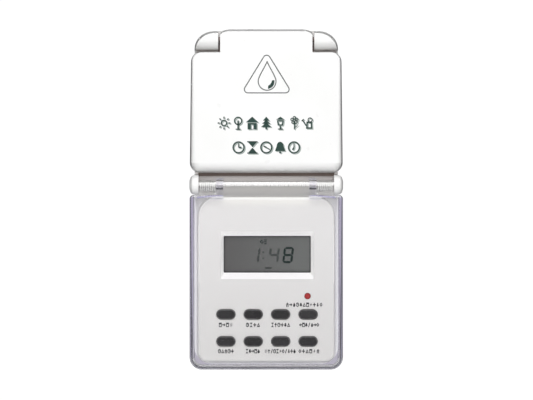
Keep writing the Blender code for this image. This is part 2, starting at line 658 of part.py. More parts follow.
def make_timer_panel(materials):
    """Timer front: a cap with a bevelled display window, eight button holes and a reset hole."""
    rounds = [0.9 * MM] * len(shape_outline(PANEL))
    panel = tray("timer_panel", PANEL, rounds, PANEL_BACK, PANEL_FRONT, 1.6 * MM, PANEL_PLATE, materials["panel"])
    half_x, half_z = DISPLAY_HALF
    rings = []
    for y, grow in ((PANEL_FRONT - 0.5 * MM, DISPLAY_BEVEL + 0.7 * MM), (PANEL_FRONT + 1.7 * MM, 0.0), (-52 * MM, 0.0)):
        corners = [(-1, -1), (1, -1), (1, 1), (-1, 1)]
        rings.append([(sx * (half_x + grow), y, DISPLAY_CENTRE_Z + sz * (half_z + grow)) for sx, sz in corners])
    cut(panel, loft("display_window", rings))
    for _, place in button_places():
        hole = stadium(BUTTON_HALF[0] + 0.2 * MM, BUTTON_HALF[1] + 0.2 * MM, place)
        cut(panel, prism_y("button_hole", hole, -60 * MM, -53 * MM))
    return cut(panel, rod_y("reset_hole", RESET_RADIUS + 0.2 * MM, RESET_CENTRE, -60 * MM, -53 * MM, 16))


def make_buttons(materials):
    for name, place in button_places():
        half_x, half_z = BUTTON_HALF
        rings = []
        for y, grow in ((-52.7, 0.65), (-53.7, 0.65), (-53.7, 0.0), (-56.9, 0.0), (-57.2, -0.3), (-57.3, -0.7)):
            rings.append(at_depth(stadium(half_x + grow * MM, half_z + grow * MM, place), y * MM))
        loft(f"button_{name}", rings, materials["rubber"])
    lathe_y("reset_button", [
        (2.2 * MM, -52.7 * MM),
        (2.2 * MM, -53.7 * MM),
        (RESET_RADIUS, -53.7 * MM),
        (RESET_RADIUS, -55.7 * MM),
        (RESET_RADIUS - 0.3 * MM, -55.9 * MM),
    ], RESET_CENTRE, 18, materials["red"])


def make_keypad_mat(materials):
    """Silicone mat behind the buttons, with a low dome under each."""
    mat = block("keypad_mat", (-20.6 * MM, 20.6 * MM), (-50.3 * MM, -49.3 * MM), (-100.3 * MM, -75.0 * MM),
                materials["seal"])
    places = [place for _, place in button_places()] + [RESET_CENTRE]
    for place in places:
        dome = lathe_y("dome", [(1.9 * MM, -50.0 * MM), (1.6 * MM, -50.9 * MM), (1.1 * MM, -51.4 * MM)], place, 8)
        join(mat, dome)
    return mat


def make_display(materials):
    """Window pane, liquid-crystal panel and the two elastomer strips that join it to the logic board."""
    centre = DISPLAY_CENTRE_Z
    reach_x, reach_z = 20.6 * MM, 9.8 * MM
    z_range = (centre - reach_z, centre + reach_z)
    block("display_window", (-reach_x, reach_x), (-53.7 * MM, -52.9 * MM), z_range, materials["window"])
    block("display_panel", (-reach_x, reach_x), (-52.6 * MM, -50.4 * MM), z_range, materials["display"])
    for name, side in (("contact_strip_lower", -1), ("contact_strip_upper", 1)):
        strip_z = sorted((centre + side * 7.4 * MM, centre + side * 9.4 * MM))
        block(name, (-19.5 * MM, 19.5 * MM), (-50.1 * MM, -49.3 * MM), strip_z, materials["seal"])


def make_logic_board(materials):
    board = block("logic_board", (-20.7 * MM, 20.7 * MM), (-49.0 * MM, -47.4 * MM), (-100.4 * MM, -40.0 * MM),
                  materials["board"])
    chip = [(4.4 * MM, -47.1 * MM), (4.2 * MM, -46.6 * MM), (3.0 * MM, -46.0 * MM)]
    lathe_y("controller_chip", chip, (-8 * MM, -70 * MM), 14, materials["black"])
    battery = [(5.8 * MM, -47.1 * MM), (6.2 * MM, -46.8 * MM), (6.2 * MM, -42.0 * MM), (5.4 * MM, -41.7 * MM)]
    lathe_y("backup_battery", battery, (10 * MM, -54 * MM), 20, materials["steel"])
    return board


# ---------------------------------------------------------------- power module

def make_power_board(materials):
    """Mains board in the lower casing, with the parts that feed and switch the outlet."""
    front, top = -23.9 * MM, -23.6 * MM
    block("power_board", (-21 * MM, 21 * MM), (top, -22.0 * MM), (-96 * MM, -40 * MM), materials["board"])
    block("relay", (-20 * MM, -1 * MM), (-39.2 * MM, front), (-62 * MM, -46.5 * MM), materials["blue"])
    block("film_capacitor", (1.5 * MM, 19.5 * MM), (-38.0 * MM, front), (-53.0 * MM, -44.5 * MM), materials["yellow"])
    storage = [(5.0 * MM, front), (5.0 * MM, -35.6 * MM), (4.6 * MM, -36.0 * MM)]
    lathe_y("storage_capacitor", storage, (11 * MM, -64 * MM), 18, materials["black"])
    fuse_axis = Vector((0, -26.2 * MM, -71 * MM))
    rod_x("fuse", 2.0 * MM, fuse_axis, -17 * MM, -5 * MM, 12, materials["window"])
    varistor_axis = Vector((0, -29.5 * MM, -82 * MM))
    rod_x("varistor", 5.2 * MM, varistor_axis, 8 * MM, 11.6 * MM, 16, materials["blue"])


def make_wiring(materials):
    """Insulated wires from the plug and outlet to the mains board, and the flat cable between the boards."""
    runs = {
        "live_wire": (-11.0, -8.8, -9.6, "brown"),
        "switched_wire": (-7.0, -6.0, -15.0, "black"),
        "neutral_wire": (10.0, 6.4, -15.0, "blue"),
    }
    for name, (x_start, x, start, colour) in runs.items():
        corners = [(x_start, start, -4.6), (x_start, start - 2.0, -7.0), (x, -22.0, -10.8), (x, -28.2, -11.8),
                   (x, -31.4, -17.6), (x, -30.4, -26.0), (x, -27.0, -36.0), (x, -24.6, -41.6)]
        route = smooth_route([tuple(value * MM for value in corner) for corner in corners], 3)
        wire(name, route, 0.9 * MM, materials[colour])
    edge = [(-24.0, -89.0), (-30.0, -91.6), (-35.0, -89.4), (-41.0, -87.6), (-47.0, -89.6)]
    profile = strip_profile([(y * MM, z * MM) for y, z in edge], 0.8 * MM)
    prism_x("ribbon_cable", profile, -6 * MM, 6 * MM, materials["window"])


# ---------------------------------------------------------------- assembly

def clear_scene():
    for existing in list(bpy.data.objects):
        bpy.data.objects.remove(existing)


def move_origin(name, origin):
    """Puts an object's origin on its joint, leaving its shape where it is."""
    moved = bpy.data.objects[name]
    moved.data.transform(Matrix.Translation(-origin))
    moved.location = origin


def shade_round_pieces():
    sharp_from = math.radians(32)
    for piece in bpy.data.objects:
        if piece.type == "MESH":
            piece.data.shade_smooth()
            piece.data.set_sharp_from_angle(angle=sharp_from)


def main():
    clear_scene()
    materials = make_materials()
    make_rear_housing(materials)
    make_front_housing(materials)
    make_gasket(materials)
    make_screws(materials)
    make_plug_pins(materials)
    make_plug_earth_strip(materials)
    make_socket_insert(materials)
    make_outlet_contacts(materials)
    make_contact_carrier(materials)
    make_shutter(materials)
    make_socket_lid(materials)
    make_lid_seal(materials)
    make_lid_hinge(materials)
    make_timer_cover(materials)
    make_cover_hinge(materials)
    make_timer_panel(materials)
    make_buttons(materials)
    make_keypad_mat(materials)
    make_display(materials)
    make_logic_board(materials)
    make_power_board(materials)
    make_wiring(materials)
    for name in ("socket_lid", "lid_seal"):
        move_origin(name, LID_AXIS)
    move_origin("timer_cover", COVER_AXIS)
    shade_round_pieces()


main()
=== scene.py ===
"""Looks of the outdoor plug-in time switch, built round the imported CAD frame."""

import math
from collections import namedtuple

import bmesh
import bpy
from mathutils import Matrix, Vector


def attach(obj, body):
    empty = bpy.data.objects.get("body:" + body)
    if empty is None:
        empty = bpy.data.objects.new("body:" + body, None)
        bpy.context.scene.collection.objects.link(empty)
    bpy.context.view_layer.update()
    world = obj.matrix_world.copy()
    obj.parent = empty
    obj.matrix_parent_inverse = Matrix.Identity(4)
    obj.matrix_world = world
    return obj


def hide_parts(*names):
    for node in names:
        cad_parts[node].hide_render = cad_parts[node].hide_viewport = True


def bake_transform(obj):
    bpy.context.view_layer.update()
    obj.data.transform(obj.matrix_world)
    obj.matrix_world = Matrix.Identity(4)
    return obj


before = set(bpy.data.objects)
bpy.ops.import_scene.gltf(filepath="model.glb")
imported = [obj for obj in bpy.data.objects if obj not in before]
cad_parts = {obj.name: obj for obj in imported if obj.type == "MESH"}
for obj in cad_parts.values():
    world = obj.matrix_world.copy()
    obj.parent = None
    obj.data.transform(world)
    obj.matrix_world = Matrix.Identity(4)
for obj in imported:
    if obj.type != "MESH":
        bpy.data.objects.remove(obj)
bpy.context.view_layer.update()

MM = 0.001

# ---------------------------------------------------------------- measures in metres, mostly those of part.py

Shape = namedtuple("Shape", "foot_half head_half bottom top foot_radii head_radii")
LID = Shape(32.5 * MM, 32.0 * MM, -25.95 * MM, 25.55 * MM, (4.4 * MM, 4.4 * MM), (4.4 * MM, 4.4 * MM))
COVER = Shape(32.4 * MM, 32.4 * MM, -109.2 * MM, -35.4 * MM, (5.2 * MM, 5.2 * MM), (1.6 * MM, 1.6 * MM))
PANEL = Shape(29.2 * MM, 29.2 * MM, -106.2 * MM, -35.9 * MM, (4.2 * MM, 4.2 * MM), (8.5 * MM, 8.5 * MM))
CORNER_STEPS = 14
ROUND_STEPS = 8
LEAST_RADIUS = 0.15 * MM

LID_WALL = 1.8 * MM
LID_PLATE = 2.2 * MM
COVER_WALL = 1.5 * MM
COVER_PLATE = 1.8 * MM
COVER_NOTCH_HALF_WIDTH = 18.2 * MM
COVER_NOTCH_BOTTOM = -37.5 * MM
COVER_LIP_BACK = -58.4 * MM
EYE_RADIUS = 2.6 * MM
EYE_SPAN = (18.2 * MM, 21.2 * MM)
COIL_RADIUS = 2.21 * MM
COIL_WIRE = 0.27 * MM

LID_AXIS = Vector((0.0, -57.7 * MM, 30.5 * MM))
COVER_AXIS = Vector((0.0, -57.0 * MM, -30.7 * MM))
BARREL_RADIUS = 4.3 * MM
LID_BACK = -53.3 * MM
LID_FRONT = -61.95 * MM
COVER_BACK = -48.4 * MM
COVER_FRONT = -61.95 * MM
PANEL_BACK = -51.3 * MM
PANEL_FRONT = -56.0 * MM
DISPLAY_FACE = -52.63 * MM
PRINT_THICKNESS = 0.03 * MM
BUTTON_COLUMNS = (-17.1 * MM, -5.5 * MM, 6.1 * MM, 17.75 * MM)
BUTTON_ROWS = (-86.0 * MM, -97.45 * MM)
BUTTON_HALF = (4.15 * MM, 2.22 * MM)
BUTTON_NAMES = (("week", "hour", "minute", "recall"), ("clock", "timer", "mode", "random"))
RESET_CENTRE = (17.5 * MM, -78.25 * MM)


# ---------------------------------------------------------------- materials

def new_material(name):
    """A new material, its node tree, its shader and a point's place on the object."""
    material = bpy.data.materials.new(name)
    material.use_nodes = True
    tree = material.node_tree
    place = tree.nodes.new("ShaderNodeTexCoord").outputs["Object"]
    return material, tree, tree.nodes["Principled BSDF"], place


def feed(tree, node, inputs):
    """Links or sets inputs of a node; a fixed colour comes without its alpha."""
    for name, value in inputs.items():
        socket = node.inputs[name]
        if isinstance(value, bpy.types.NodeSocket):
            tree.links.new(value, socket)
        else:
            socket.default_value = (*value, 1.0) if socket.type == "RGBA" else value
    return node


def added(tree, kind, inputs):
    return feed(tree, tree.nodes.new("ShaderNode" + kind), inputs)


def noise(tree, place, scale, detail):
    return added(tree, "TexNoise", {"Scale": scale, "Detail": detail, "Vector": place}).outputs["Fac"]


def spread(tree, value, low, high, from_low=0.3, from_high=0.7):
    ends = {"From Min": from_low, "From Max": from_high, "To Min": low, "To Max": high}
    return added(tree, "MapRange", {**ends, "Value": value}).outputs["Result"]


def between(tree, share, first, second):
    """Mixes two colours, each fixed or from another node."""
    node = tree.nodes.new("ShaderNodeMix")
    node.data_type = "RGBA"
    return feed(tree, node, {"A": first, "B": second, "Factor": share}).outputs["Result"]


def combined(tree, operation, *values):
    total = values[0]
    for value in values[1:]:
        node = added(tree, "Math", {0: total, 1: value})
        node.operation = operation
        total = node.outputs["Value"]
    return total


def all_of(tree, *masks):
    return combined(tree, "MULTIPLY", *masks)


def any_of(tree, *masks):
    return combined(tree, "MAXIMUM", *masks)


def axes(tree):
    """The three coordinates of a point of the object."""
    place = tree.nodes["Texture Coordinate"].outputs["Object"]
    split = added(tree, "SeparateXYZ", {"Vector": place})
    return split.outputs["X"], split.outputs["Y"], split.outputs["Z"]


def size_of(tree, value):
    node = added(tree, "Math", {0: value})
    node.operation = "ABSOLUTE"
    return node.outputs["Value"]


def grade(tree, value, start, end):
    """A mask that is 0 where the value is at start and 1 where it is at end, both in millimetres."""
    return spread(tree, value, 0.0, 1.0, start * MM, end * MM)


def toned(tree, mask, colour):
    """Lays a colour over the material's own where the mask is 1."""
    base = tree.nodes["Principled BSDF"].inputs["Base Color"]
    tree.links.new(between(tree, mask, base.links[0].from_socket, colour), base)


def add_bump(tree, shader, height, strength, distance):
    bump = added(tree, "Bump", {"Strength": strength, "Distance": distance, "Height": height})
    tree.links.new(bump.outputs["Normal"], shader.inputs["Normal"])


def moulded(name, light, dark, roughness, grain=2600.0, bump=0.12, specular=0.5):
    """Moulded plastic: a slight drift of tone, uneven gloss and a fine surface grain."""
    material, tree, shader, place = new_material(name)
    tone = spread(tree, noise(tree, place, 45.0, 4.0), 0.0, 1.0)
    feed(tree, shader, {
        "Base Color": between(tree, tone, light, dark),
        "Roughness": spread(tree, noise(tree, place, 160.0, 5.0), roughness - 0.05, roughness + 0.06),
        "Specular IOR Level": specular,
    })
    add_bump(tree, shader, noise(tree, place, grain, 3.0), bump, 0.05 * MM)
    return material


def metal(name, light, dark, roughness, grain=(900.0, 60.0, 60.0), metallic=1.0):
    """Drawn or plated metal with fine lines along one axis."""
    material, tree, shader, place = new_material(name)
    stretch = added(tree, "Mapping", {"Scale": grain, "Vector": place})
    lines = noise(tree, stretch.outputs["Vector"], 6.0, 5.0)
    feed(tree, shader, {
        "Base Color": between(tree, spread(tree, lines, 0.0, 1.0), light, dark),
        "Roughness": spread(tree, lines, roughness - 0.04, roughness + 0.07),
        "Metallic": metallic,
    })
    add_bump(tree, shader, lines, 0.1, 0.02 * MM)
    return material


def clear_plastic(name, absorb, density, ior):
    """Clear plastic that lets lamps through and tints what is seen along its thickness."""
    material, tree, shader, place = new_material(name)
    feed(tree, shader, {
        "Base Color": (1.0, 1.0, 1.0),
        "Transmission Weight": 1.0,
        "IOR": ior,
        "Roughness": spread(tree, noise(tree, place, 90.0, 4.0), 0.02, 0.05),
    })
    shadow = added(tree, "BsdfTransparent", {"Color": (0.93, 0.93, 0.95)})
    path = tree.nodes.new("ShaderNodeLightPath")
    mix = added(tree, "MixShader", {"Fac": path.outputs["Is Shadow Ray"], 1: shader.outputs["BSDF"],
                                    2: shadow.outputs["BSDF"]})
    haze = added(tree, "VolumeAbsorption", {"Color": absorb, "Density": density})
    feed(tree, tree.nodes["Material Output"],
         {"Surface": mix.outputs["Shader"], "Volume": haze.outputs["Volume"]})
    return material


def casing_plastic_painted_shade():
    """White plastic with painted shade: greyer on the recessed deck round the timer and darkest round the
    cover's pin, with painted light beside the pin under the springs against their shadow; darker on the
    barrels' lower halves and undersides, and dark in the gaps round the barrels.
    """
    material = moulded("casing_plastic_painted_shade", (0.85, 0.85, 0.84), (0.81, 0.81, 0.80), 0.38, bump=0.2)
    tree = material.node_tree
    x, y, z = axes(tree)
    side = size_of(tree, x)
    # Painted shade on the recessed deck: grey round the cover's pin and down beside the panel; lighter under
    # the springs, as painted light against their shadow.
    above_pin = between(tree, grade(tree, z, -27.0, -30.3), (0.60, 0.56, 0.545), (0.36, 0.35, 0.345))
    mid_valley = between(tree, grade(tree, z, -33.3, -35.3), (0.53, 0.52, 0.51), (0.39, 0.385, 0.38))
    below_pin = between(tree, grade(tree, side, 20.5, 21.5), mid_valley, (0.70, 0.69, 0.68))
    valley = between(tree, grade(tree, z, -30.3, -31.3), above_pin, below_pin)
    lower_deck_shade = between(tree, grade(tree, z, -37.0, -47.0), (0.56, 0.555, 0.545), (0.70, 0.695, 0.68))
    deck = all_of(tree, grade(tree, y, -53.4, -52.8), grade(tree, y, -50.2, -50.4),
                  grade(tree, side, 30.3, 30.0), grade(tree, z, -106.9, -106.6), grade(tree, z, -25.0, -25.5))
    toned(tree, deck, between(tree, grade(tree, z, -36.2, -37.0), valley, lower_deck_shade))
    # Painted shade on the barrels: darker on their lower halves, under them and in the gaps beside the lid's
    # tongue.
    by_barrel = all_of(tree, grade(tree, side, 18.8, 18.9), grade(tree, z, 24.5, 24.6),
                       grade(tree, y, -52.7, -52.8))
    toned(tree, all_of(tree, by_barrel, grade(tree, z, 29.6, 27.2)), (0.67, 0.67, 0.66))
    under = all_of(tree, grade(tree, side, 29.9, 29.4), grade(tree, z, 26.5, 26.3),
                   grade(tree, y, -59.2, -58.4))
    toned(tree, all_of(tree, by_barrel, under), (0.52, 0.48, 0.46))
    crevice_shade = between(tree, grade(tree, z, 28.0, 31.0), (0.24, 0.19, 0.18), (0.62, 0.60, 0.59))
    toned(tree, all_of(tree, by_barrel, grade(tree, side, 20.38, 20.3)), crevice_shade)
    return material


def button_rubber():
    """Near-black rubber with a painted highlight: a little greyer on the rounded rim."""
    material = moulded("button_rubber", (0.038, 0.037, 0.036), (0.024, 0.023, 0.022), 0.5, bump=0.5,
                       specular=0.22)
    tree = material.node_tree
    y = axes(tree)[1]
    # Painted highlight on the rounded rim.
    toned(tree, grade(tree, y, -57.2, -57.0), (0.15, 0.147, 0.14))
    return material


def pin_steel():
    """Bright pin: its near-white, mostly non-metallic colour is a painted reflection, and its underside and
    top carry painted shade where they lie in the dark of the hinge gap.
    """
    material = metal("satin_pin_steel", (0.93, 0.915, 0.91), (0.88, 0.87, 0.86), 0.28, metallic=0.35)
    tree = material.node_tree
    z = axes(tree)[2]
    # Painted shade on the pin's underside and top.
    gap_shade = any_of(tree, grade(tree, z, -31.7, -31.8), grade(tree, z, -29.85, -29.7))
    toned(tree, gap_shade, (0.16, 0.12, 0.11))
    return material


def spring_steel():
    """Bright wire: its near-white, mostly non-metallic colour is a painted reflection, and it carries painted
    shade above and below the cover's pin.
    """
    material = metal("spring_steel", (0.98, 0.98, 0.97), (0.92, 0.93, 0.91), 0.3, metallic=0.1)
    tree = material.node_tree
    z = axes(tree)[2]
    # Painted shade: darker above the level of the cover's pin, which takes in the lid's coil and the shutter
    # wire, and greyer below the pin.
    toned(tree, grade(tree, z, -30.4, -29.8), (0.45, 0.45, 0.44))
    lower = between(tree, grade(tree, z, -32.2, -33.4), (0.66, 0.66, 0.65), (0.86, 0.86, 0.85))
    toned(tree, grade(tree, z, -31.4, -31.9), lower)
    return material


def lid_plastic():
    """Glossy white plastic with painted light along the lid's rounded lower edge, which is palest."""
    material = moulded("white_gloss_plastic", (0.845, 0.845, 0.84), (0.82, 0.82, 0.81), 0.32)
    tree = material.node_tree
    z = axes(tree)[2]
    # Painted light along the rounded lower edge.
    lip_light = all_of(tree, grade(tree, z, -23.5, -25.0), grade(tree, z, -26.3, -26.2))
    toned(tree, lip_light, (0.98, 0.98, 0.97))
    return material


def panel_plastic():
    """Off-white plastic with painted shade, deeper in tone towards its foot, and painted light on a glossier,
    whiter frame round the display.
    """
    material = moulded("panel_plastic", (0.775, 0.765, 0.712), (0.75, 0.742, 0.69), 0.5, bump=0.25)
    tree = material.node_tree
    _, y, z = axes(tree)
    # Painted shade: deeper in tone towards the foot of the front face.
    foot = all_of(tree, grade(tree, z, -50.0, -104.0), grade(tree, y, -54.0, -54.1))
    toned(tree, foot, (0.68, 0.672, 0.62))
    # Painted light: faces set back from the front, the display frame's among them, are whiter, and the
    # frame's slopes whitest.
    toned(tree, grade(tree, y, -55.95, -55.5), (0.95, 0.94, 0.9))
    frame_slopes = all_of(tree, grade(tree, y, -55.98, -55.85), grade(tree, z, -73.0, -72.5),
                          grade(tree, z, -47.5, -48.0))
    toned(tree, frame_slopes, (0.98, 0.97, 0.91))
    # Darker along the top edge, where the cover leaves the panel bare.
    toned(tree, grade(tree, z, -38.0, -37.0), (0.74, 0.735, 0.715))
    rough = tree.nodes["Principled BSDF"].inputs["Roughness"]
    gloss = added(tree, "Mix", {"B": 0.3, "Factor": frame_slopes, "A": rough.links[0].from_socket})
    tree.links.new(gloss.outputs["Result"], rough)
    return material


def display_material():
    """Liquid-crystal glass: dark grey, a little greener and lighter to the right, with painted shade along
    its edges.
    """
    material, tree, shader, place = new_material("display_glass")
    x, _, z = axes(tree)
    middle = between(tree, grade(tree, x, -18.0, 14.0), (0.130, 0.128, 0.116), (0.170, 0.176, 0.156))
    # Painted shade along the display's edges.
    rim = any_of(tree, grade(tree, x, -17.3, -18.2), grade(tree, x, 18.1, 19.0),
                 grade(tree, z, -53.5, -52.6), grade(tree, z, -67.5, -68.4))
    feed(tree, shader, {
        "Base Color": between(tree, rim, middle, (0.03, 0.03, 0.03)),
        "Roughness": spread(tree, noise(tree, place, 400.0, 4.0), 0.4, 0.5),
        "Specular IOR Level": 0.05,
    })
    return material


WHITE = lid_plastic()
CASING = casing_plastic_painted_shade()
PANEL_WHITE = panel_plastic()
CLEAR = clear_plastic("clear_cover_plastic", (0.76, 0.74, 0.92), 52.0, 1.5)
# Opaque lilac for the cover's upper edge: partly the plastic's tint, partly painted shade.
LILAC = moulded("edge_tint_and_shade", (0.38, 0.36, 0.49), (0.34, 0.32, 0.45), 0.4, specular=0.1)
PANE = clear_plastic("window_plastic", (0.9, 0.95, 0.9), 10.0, 1.25)
BUTTON = button_rubber()
RED = moulded("red_plastic", (0.42, 0.035, 0.03), (0.32, 0.02, 0.02), 0.35)
SEAL = moulded("seal_rubber", (0.16, 0.16, 0.165), (0.11, 0.11, 0.115), 0.65, bump=0.6)
# Painted shadow: the dark strip under the lid's lower edge.
SHADOW_STRIP = moulded("painted_shadow_strip", (0.165, 0.131, 0.114), (0.13, 0.10, 0.087), 0.7, bump=0.4, specular=0.2)
MAT = moulded("keypad_rubber", (0.32, 0.32, 0.33), (0.27, 0.27, 0.28), 0.6, bump=0.4)
STEEL = metal("pin_steel", (0.86, 0.86, 0.86), (0.74, 0.74, 0.73), 0.12)
BRIGHT_STEEL = pin_steel()
SPRING_STEEL = spring_steel()
NICKEL = metal("nickel_plate", (0.82, 0.80, 0.76), (0.72, 0.70, 0.66), 0.16, grain=(60.0, 400.0, 60.0))
BRASS = metal("brass", (0.80, 0.63, 0.32), (0.66, 0.49, 0.22), 0.24, grain=(60.0, 300.0, 60.0))
BOARD = moulded("board_green", (0.03, 0.16, 0.06), (0.02, 0.11, 0.045), 0.35, grain=900.0, bump=0.3)
BLACK = moulded("black_plastic", (0.03, 0.03, 0.03), (0.018, 0.018, 0.018), 0.4)
BLUE = moulded("blue_plastic", (0.03, 0.09, 0.36), (0.02, 0.06, 0.28), 0.35)
YELLOW = moulded("yellow_plastic", (0.68, 0.50, 0.06), (0.58, 0.41, 0.04), 0.4)
BROWN = moulded("brown_sleeve", (0.17, 0.07, 0.03), (0.12, 0.05, 0.02), 0.45)
INK = moulded("dark_green_ink", (0.018, 0.048, 0.038), (0.012, 0.032, 0.026), 0.5)
SHADE_INK = moulded("grey_green_ink", (0.36, 0.40, 0.38), (0.30, 0.34, 0.32), 0.5)
LINE_INK = moulded("grey_ink", (0.115, 0.12, 0.12), (0.085, 0.09, 0.09), 0.5)
LABEL_INK = moulded("label_ink", (0.035, 0.035, 0.035), (0.025, 0.025, 0.025), 0.6, specular=0.2)
DIGIT_INK = moulded("display_figures", (0.018, 0.030, 0.025), (0.015, 0.026, 0.021), 0.5, specular=0.05)
FAINT_INK = moulded("display_marks", (0.070, 0.077, 0.068), (0.062, 0.068, 0.060), 0.5, specular=0.05)
DISPLAY = display_material()


# ---------------------------------------------------------------- outlines and solids

def arc(centre, radii, start, end, steps):
    points = []
    for step in range(steps + 1):
        angle = math.radians(start + (end - start) * step / steps)
        points.append((centre[0] + radii[0] * math.cos(angle), centre[1] + radii[1] * math.sin(angle)))
    return points


def circle(radius, steps, centre=(0.0, 0.0)):
    return arc(centre, (radius, radius), 0, 360, steps)[:-1]


def shape_outline(shape, shrink=0.0):
    """The outline of a rounded shape, moved inwards by shrink, with the same number of points each time."""
    corners = []
    for end, half, edge, radii in ((-1, shape.foot_half, shape.bottom, shape.foot_radii),
                                   (1, shape.head_half, shape.top, shape.head_radii)):
        round_x = max(radii[0] - shrink, LEAST_RADIUS)
        round_z = max(radii[1] - shrink, LEAST_RADIUS)
        centre = (half - shrink - round_x, edge - end * (shrink + round_z))
        start = -90 if end < 0 else 0
        corners += arc(centre, (round_x, round_z), start, start + 90, CORNER_STEPS)
    return corners + [(-x, z) for x, z in reversed(corners)]


def stadium(half_length, half_height, centre):
    reach = half_length - half_height
    right = arc((centre[0] + reach, centre[1]), (half_height, half_height), -90, 90, 12)
    left = arc((centre[0] - reach, centre[1]), (half_height, half_height), 90, 270, 12)
    return right + left


def add_object(name, mesh, material):
    made = bpy.data.objects.new(name, mesh)
    bpy.context.scene.collection.objects.link(made)
    if material:
        mesh.materials.clear()
        mesh.materials.append(material)
    return made


def object_from(name, builder, material):
    bmesh.ops.recalc_face_normals(builder, faces=builder.faces)
    mesh = bpy.data.meshes.new(name)
    builder.to_mesh(mesh)
    builder.free()
    return add_object(name, mesh, material)


def loft(name, rings, material=None):
    builder = bmesh.new()
    loops = [[builder.verts.new(point) for point in ring] for ring in rings]
    for lower, upper in zip(loops, loops[1:]):
        for i in range(len(lower)):
            after = (i + 1) % len(lower)
            builder.faces.new((lower[i], lower[after], upper[after], upper[i]))
    builder.faces.new(loops[0])
    builder.faces.new(reversed(loops[-1]))
    return object_from(name, builder, material)


def at_depth(outline, y):
    return [(x, y, z) for x, z in outline]


def prism_y(name, outline, y_start, y_end, material=None):
    return loft(name, [at_depth(outline, y_start), at_depth(outline, y_end)], material)


def prism_x(name, profile, x_start, x_end):
    return loft(name, [[(x, y, z) for y, z in profile] for x in (x_start, x_end)])


def block(name, x_range, y_range, z_range, material=None):
    (left, right), (low, high) = x_range, z_range
    outline = [(left, low), (right, low), (right, high), (left, high)]
    return prism_y(name, outline, y_range[0], y_range[1], material)


def rod_x(name, radius, axis, x_start, x_end):
    return prism_x(name, circle(radius, 40, (axis.y, axis.z)), x_start, x_end)


def lathe_y(name, profile, centre, steps, material):
    return loft(name, [at_depth(circle(radius, steps, centre), y) for radius, y in profile], material)


def tray(name, shape, rounds, back, front, wall, plate, draft, material):
    """A shallow box open at the back, its front edge rounded by rounds, one radius for each outline point."""
    outlines = {}

    def ring(shrinks, depths):
        points = []
        for i, (shrink, y) in enumerate(zip(shrinks, depths)):
            key = round(shrink, 7)
            if key not in outlines:
                outlines[key] = shape_outline(shape, shrink)
            x, z = outlines[key][i]
            points.append((x, y, z))
        return points

    quarter = [math.radians(90 * step / ROUND_STEPS) for step in range(ROUND_STEPS + 1)]
    inner_rounds = [max(r - wall, LEAST_RADIUS) for r in rounds]
    rings = []
    for turn in reversed(quarter):
        rings.append(ring([draft + r * (1 - math.cos(turn)) for r in rounds],
                          [front + r * (1 - math.sin(turn)) for r in rounds]))
    rings.append(ring([0.0] * len(rounds), [back] * len(rounds)))
    rings.append(ring([wall] * len(rounds), [back] * len(rounds)))
    for turn in quarter:
        rings.append(ring([wall + r * (1 - math.cos(turn)) for r in inner_rounds],
                          [front + plate + r * (1 - math.sin(turn)) for r in inner_rounds]))
    return loft(name, rings, material)


def evaluated_mesh(source):
    bpy.context.view_layer.update()
    return bpy.data.meshes.new_from_object(source.evaluated_get(bpy.context.evaluated_depsgraph_get()))


def apply_modifiers(target):
    mesh = evaluated_mesh(target)
    target.modifiers.clear()
    target.data = mesh
    return target


def boolean(target, others, operation):
    for other in others:
        modifier = target.modifiers.new(operation.title(), "BOOLEAN")
        modifier.operation = operation
        modifier.object = other
        modifier.solver = "EXACT"
        apply_modifiers(target)
        bpy.data.objects.remove(other)
    return target


def cut(target, *others):
    return boolean(target, others, "DIFFERENCE")


def join(target, *others):
    return boolean(target, others, "UNION")


def keep_shared(target, *others):
    return boolean(target, others, "INTERSECT")


def soften(target, width, segments=2, angle=35):
    """Rounds the sharp edges of a piece, as a moulding has them."""
    modifier = target.modifiers.new("Soften", "BEVEL")
    modifier.limit_method = "ANGLE"
    modifier.angle_limit = math.radians(angle)
    modifier.width = width
    modifier.segments = segments
    modifier.use_clamp_overlap = True
    modifier.miter_outer = "MITER_ARC"
    return apply_modifiers(target)


def shade(target, sharp_from=30):
    """Smooth shading with flat faces kept flat."""
    target.data.shade_smooth()
    target.data.set_sharp_from_angle(angle=math.radians(sharp_from))
    modifier = target.modifiers.new("Normals", "WEIGHTED_NORMAL")
    modifier.keep_sharp = True
    modifier.weight = 80
    return target


def fit_piece(piece, body, slot, *nodes):
    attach(piece, body)
    if nodes:
        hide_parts(*nodes)
    return piece


def cad_copy(node, name, material, width, mould):
    """A piece made from a CAD node's own shape, with its sharp edges rounded and any mould cut away."""
    builder = bmesh.new()
    builder.from_mesh(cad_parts[node].data)
    bmesh.ops.remove_doubles(builder, verts=builder.verts, dist=0.003 * MM)
    if mould:
        stretch_barrels(builder)
    bmesh.ops.dissolve_limit(
        builder, angle_limit=math.radians(0.5), verts=builder.verts, edges=builder.edges)
    piece = object_from(name, builder, material)
    if mould:
        cut(piece, mould)
    soften(piece, width)
    return shade(piece)


def stretch_barrels(builder):
    """Makes the barrels at the casing's top a little flatter above their axis and deeper below it."""
    for vertex in builder.verts:
        height = vertex.co.z - LID_AXIS.z
        if vertex.co.y < -53.2 * MM and height > -4.4 * MM:
            vertex.co.z = LID_AXIS.z + height * (0.97 if height > 0 else 1.04)


# ---------------------------------------------------------------- flat printed marks

def curve_mesh(curve):
    """The mesh of a curve, which is then removed."""
    holder = bpy.data.objects.new(curve.name, curve)
    bpy.context.scene.collection.objects.link(holder)
    mesh = evaluated_mesh(holder)
    bpy.data.objects.remove(holder)
    bpy.data.curves.remove(curve)
    return mesh


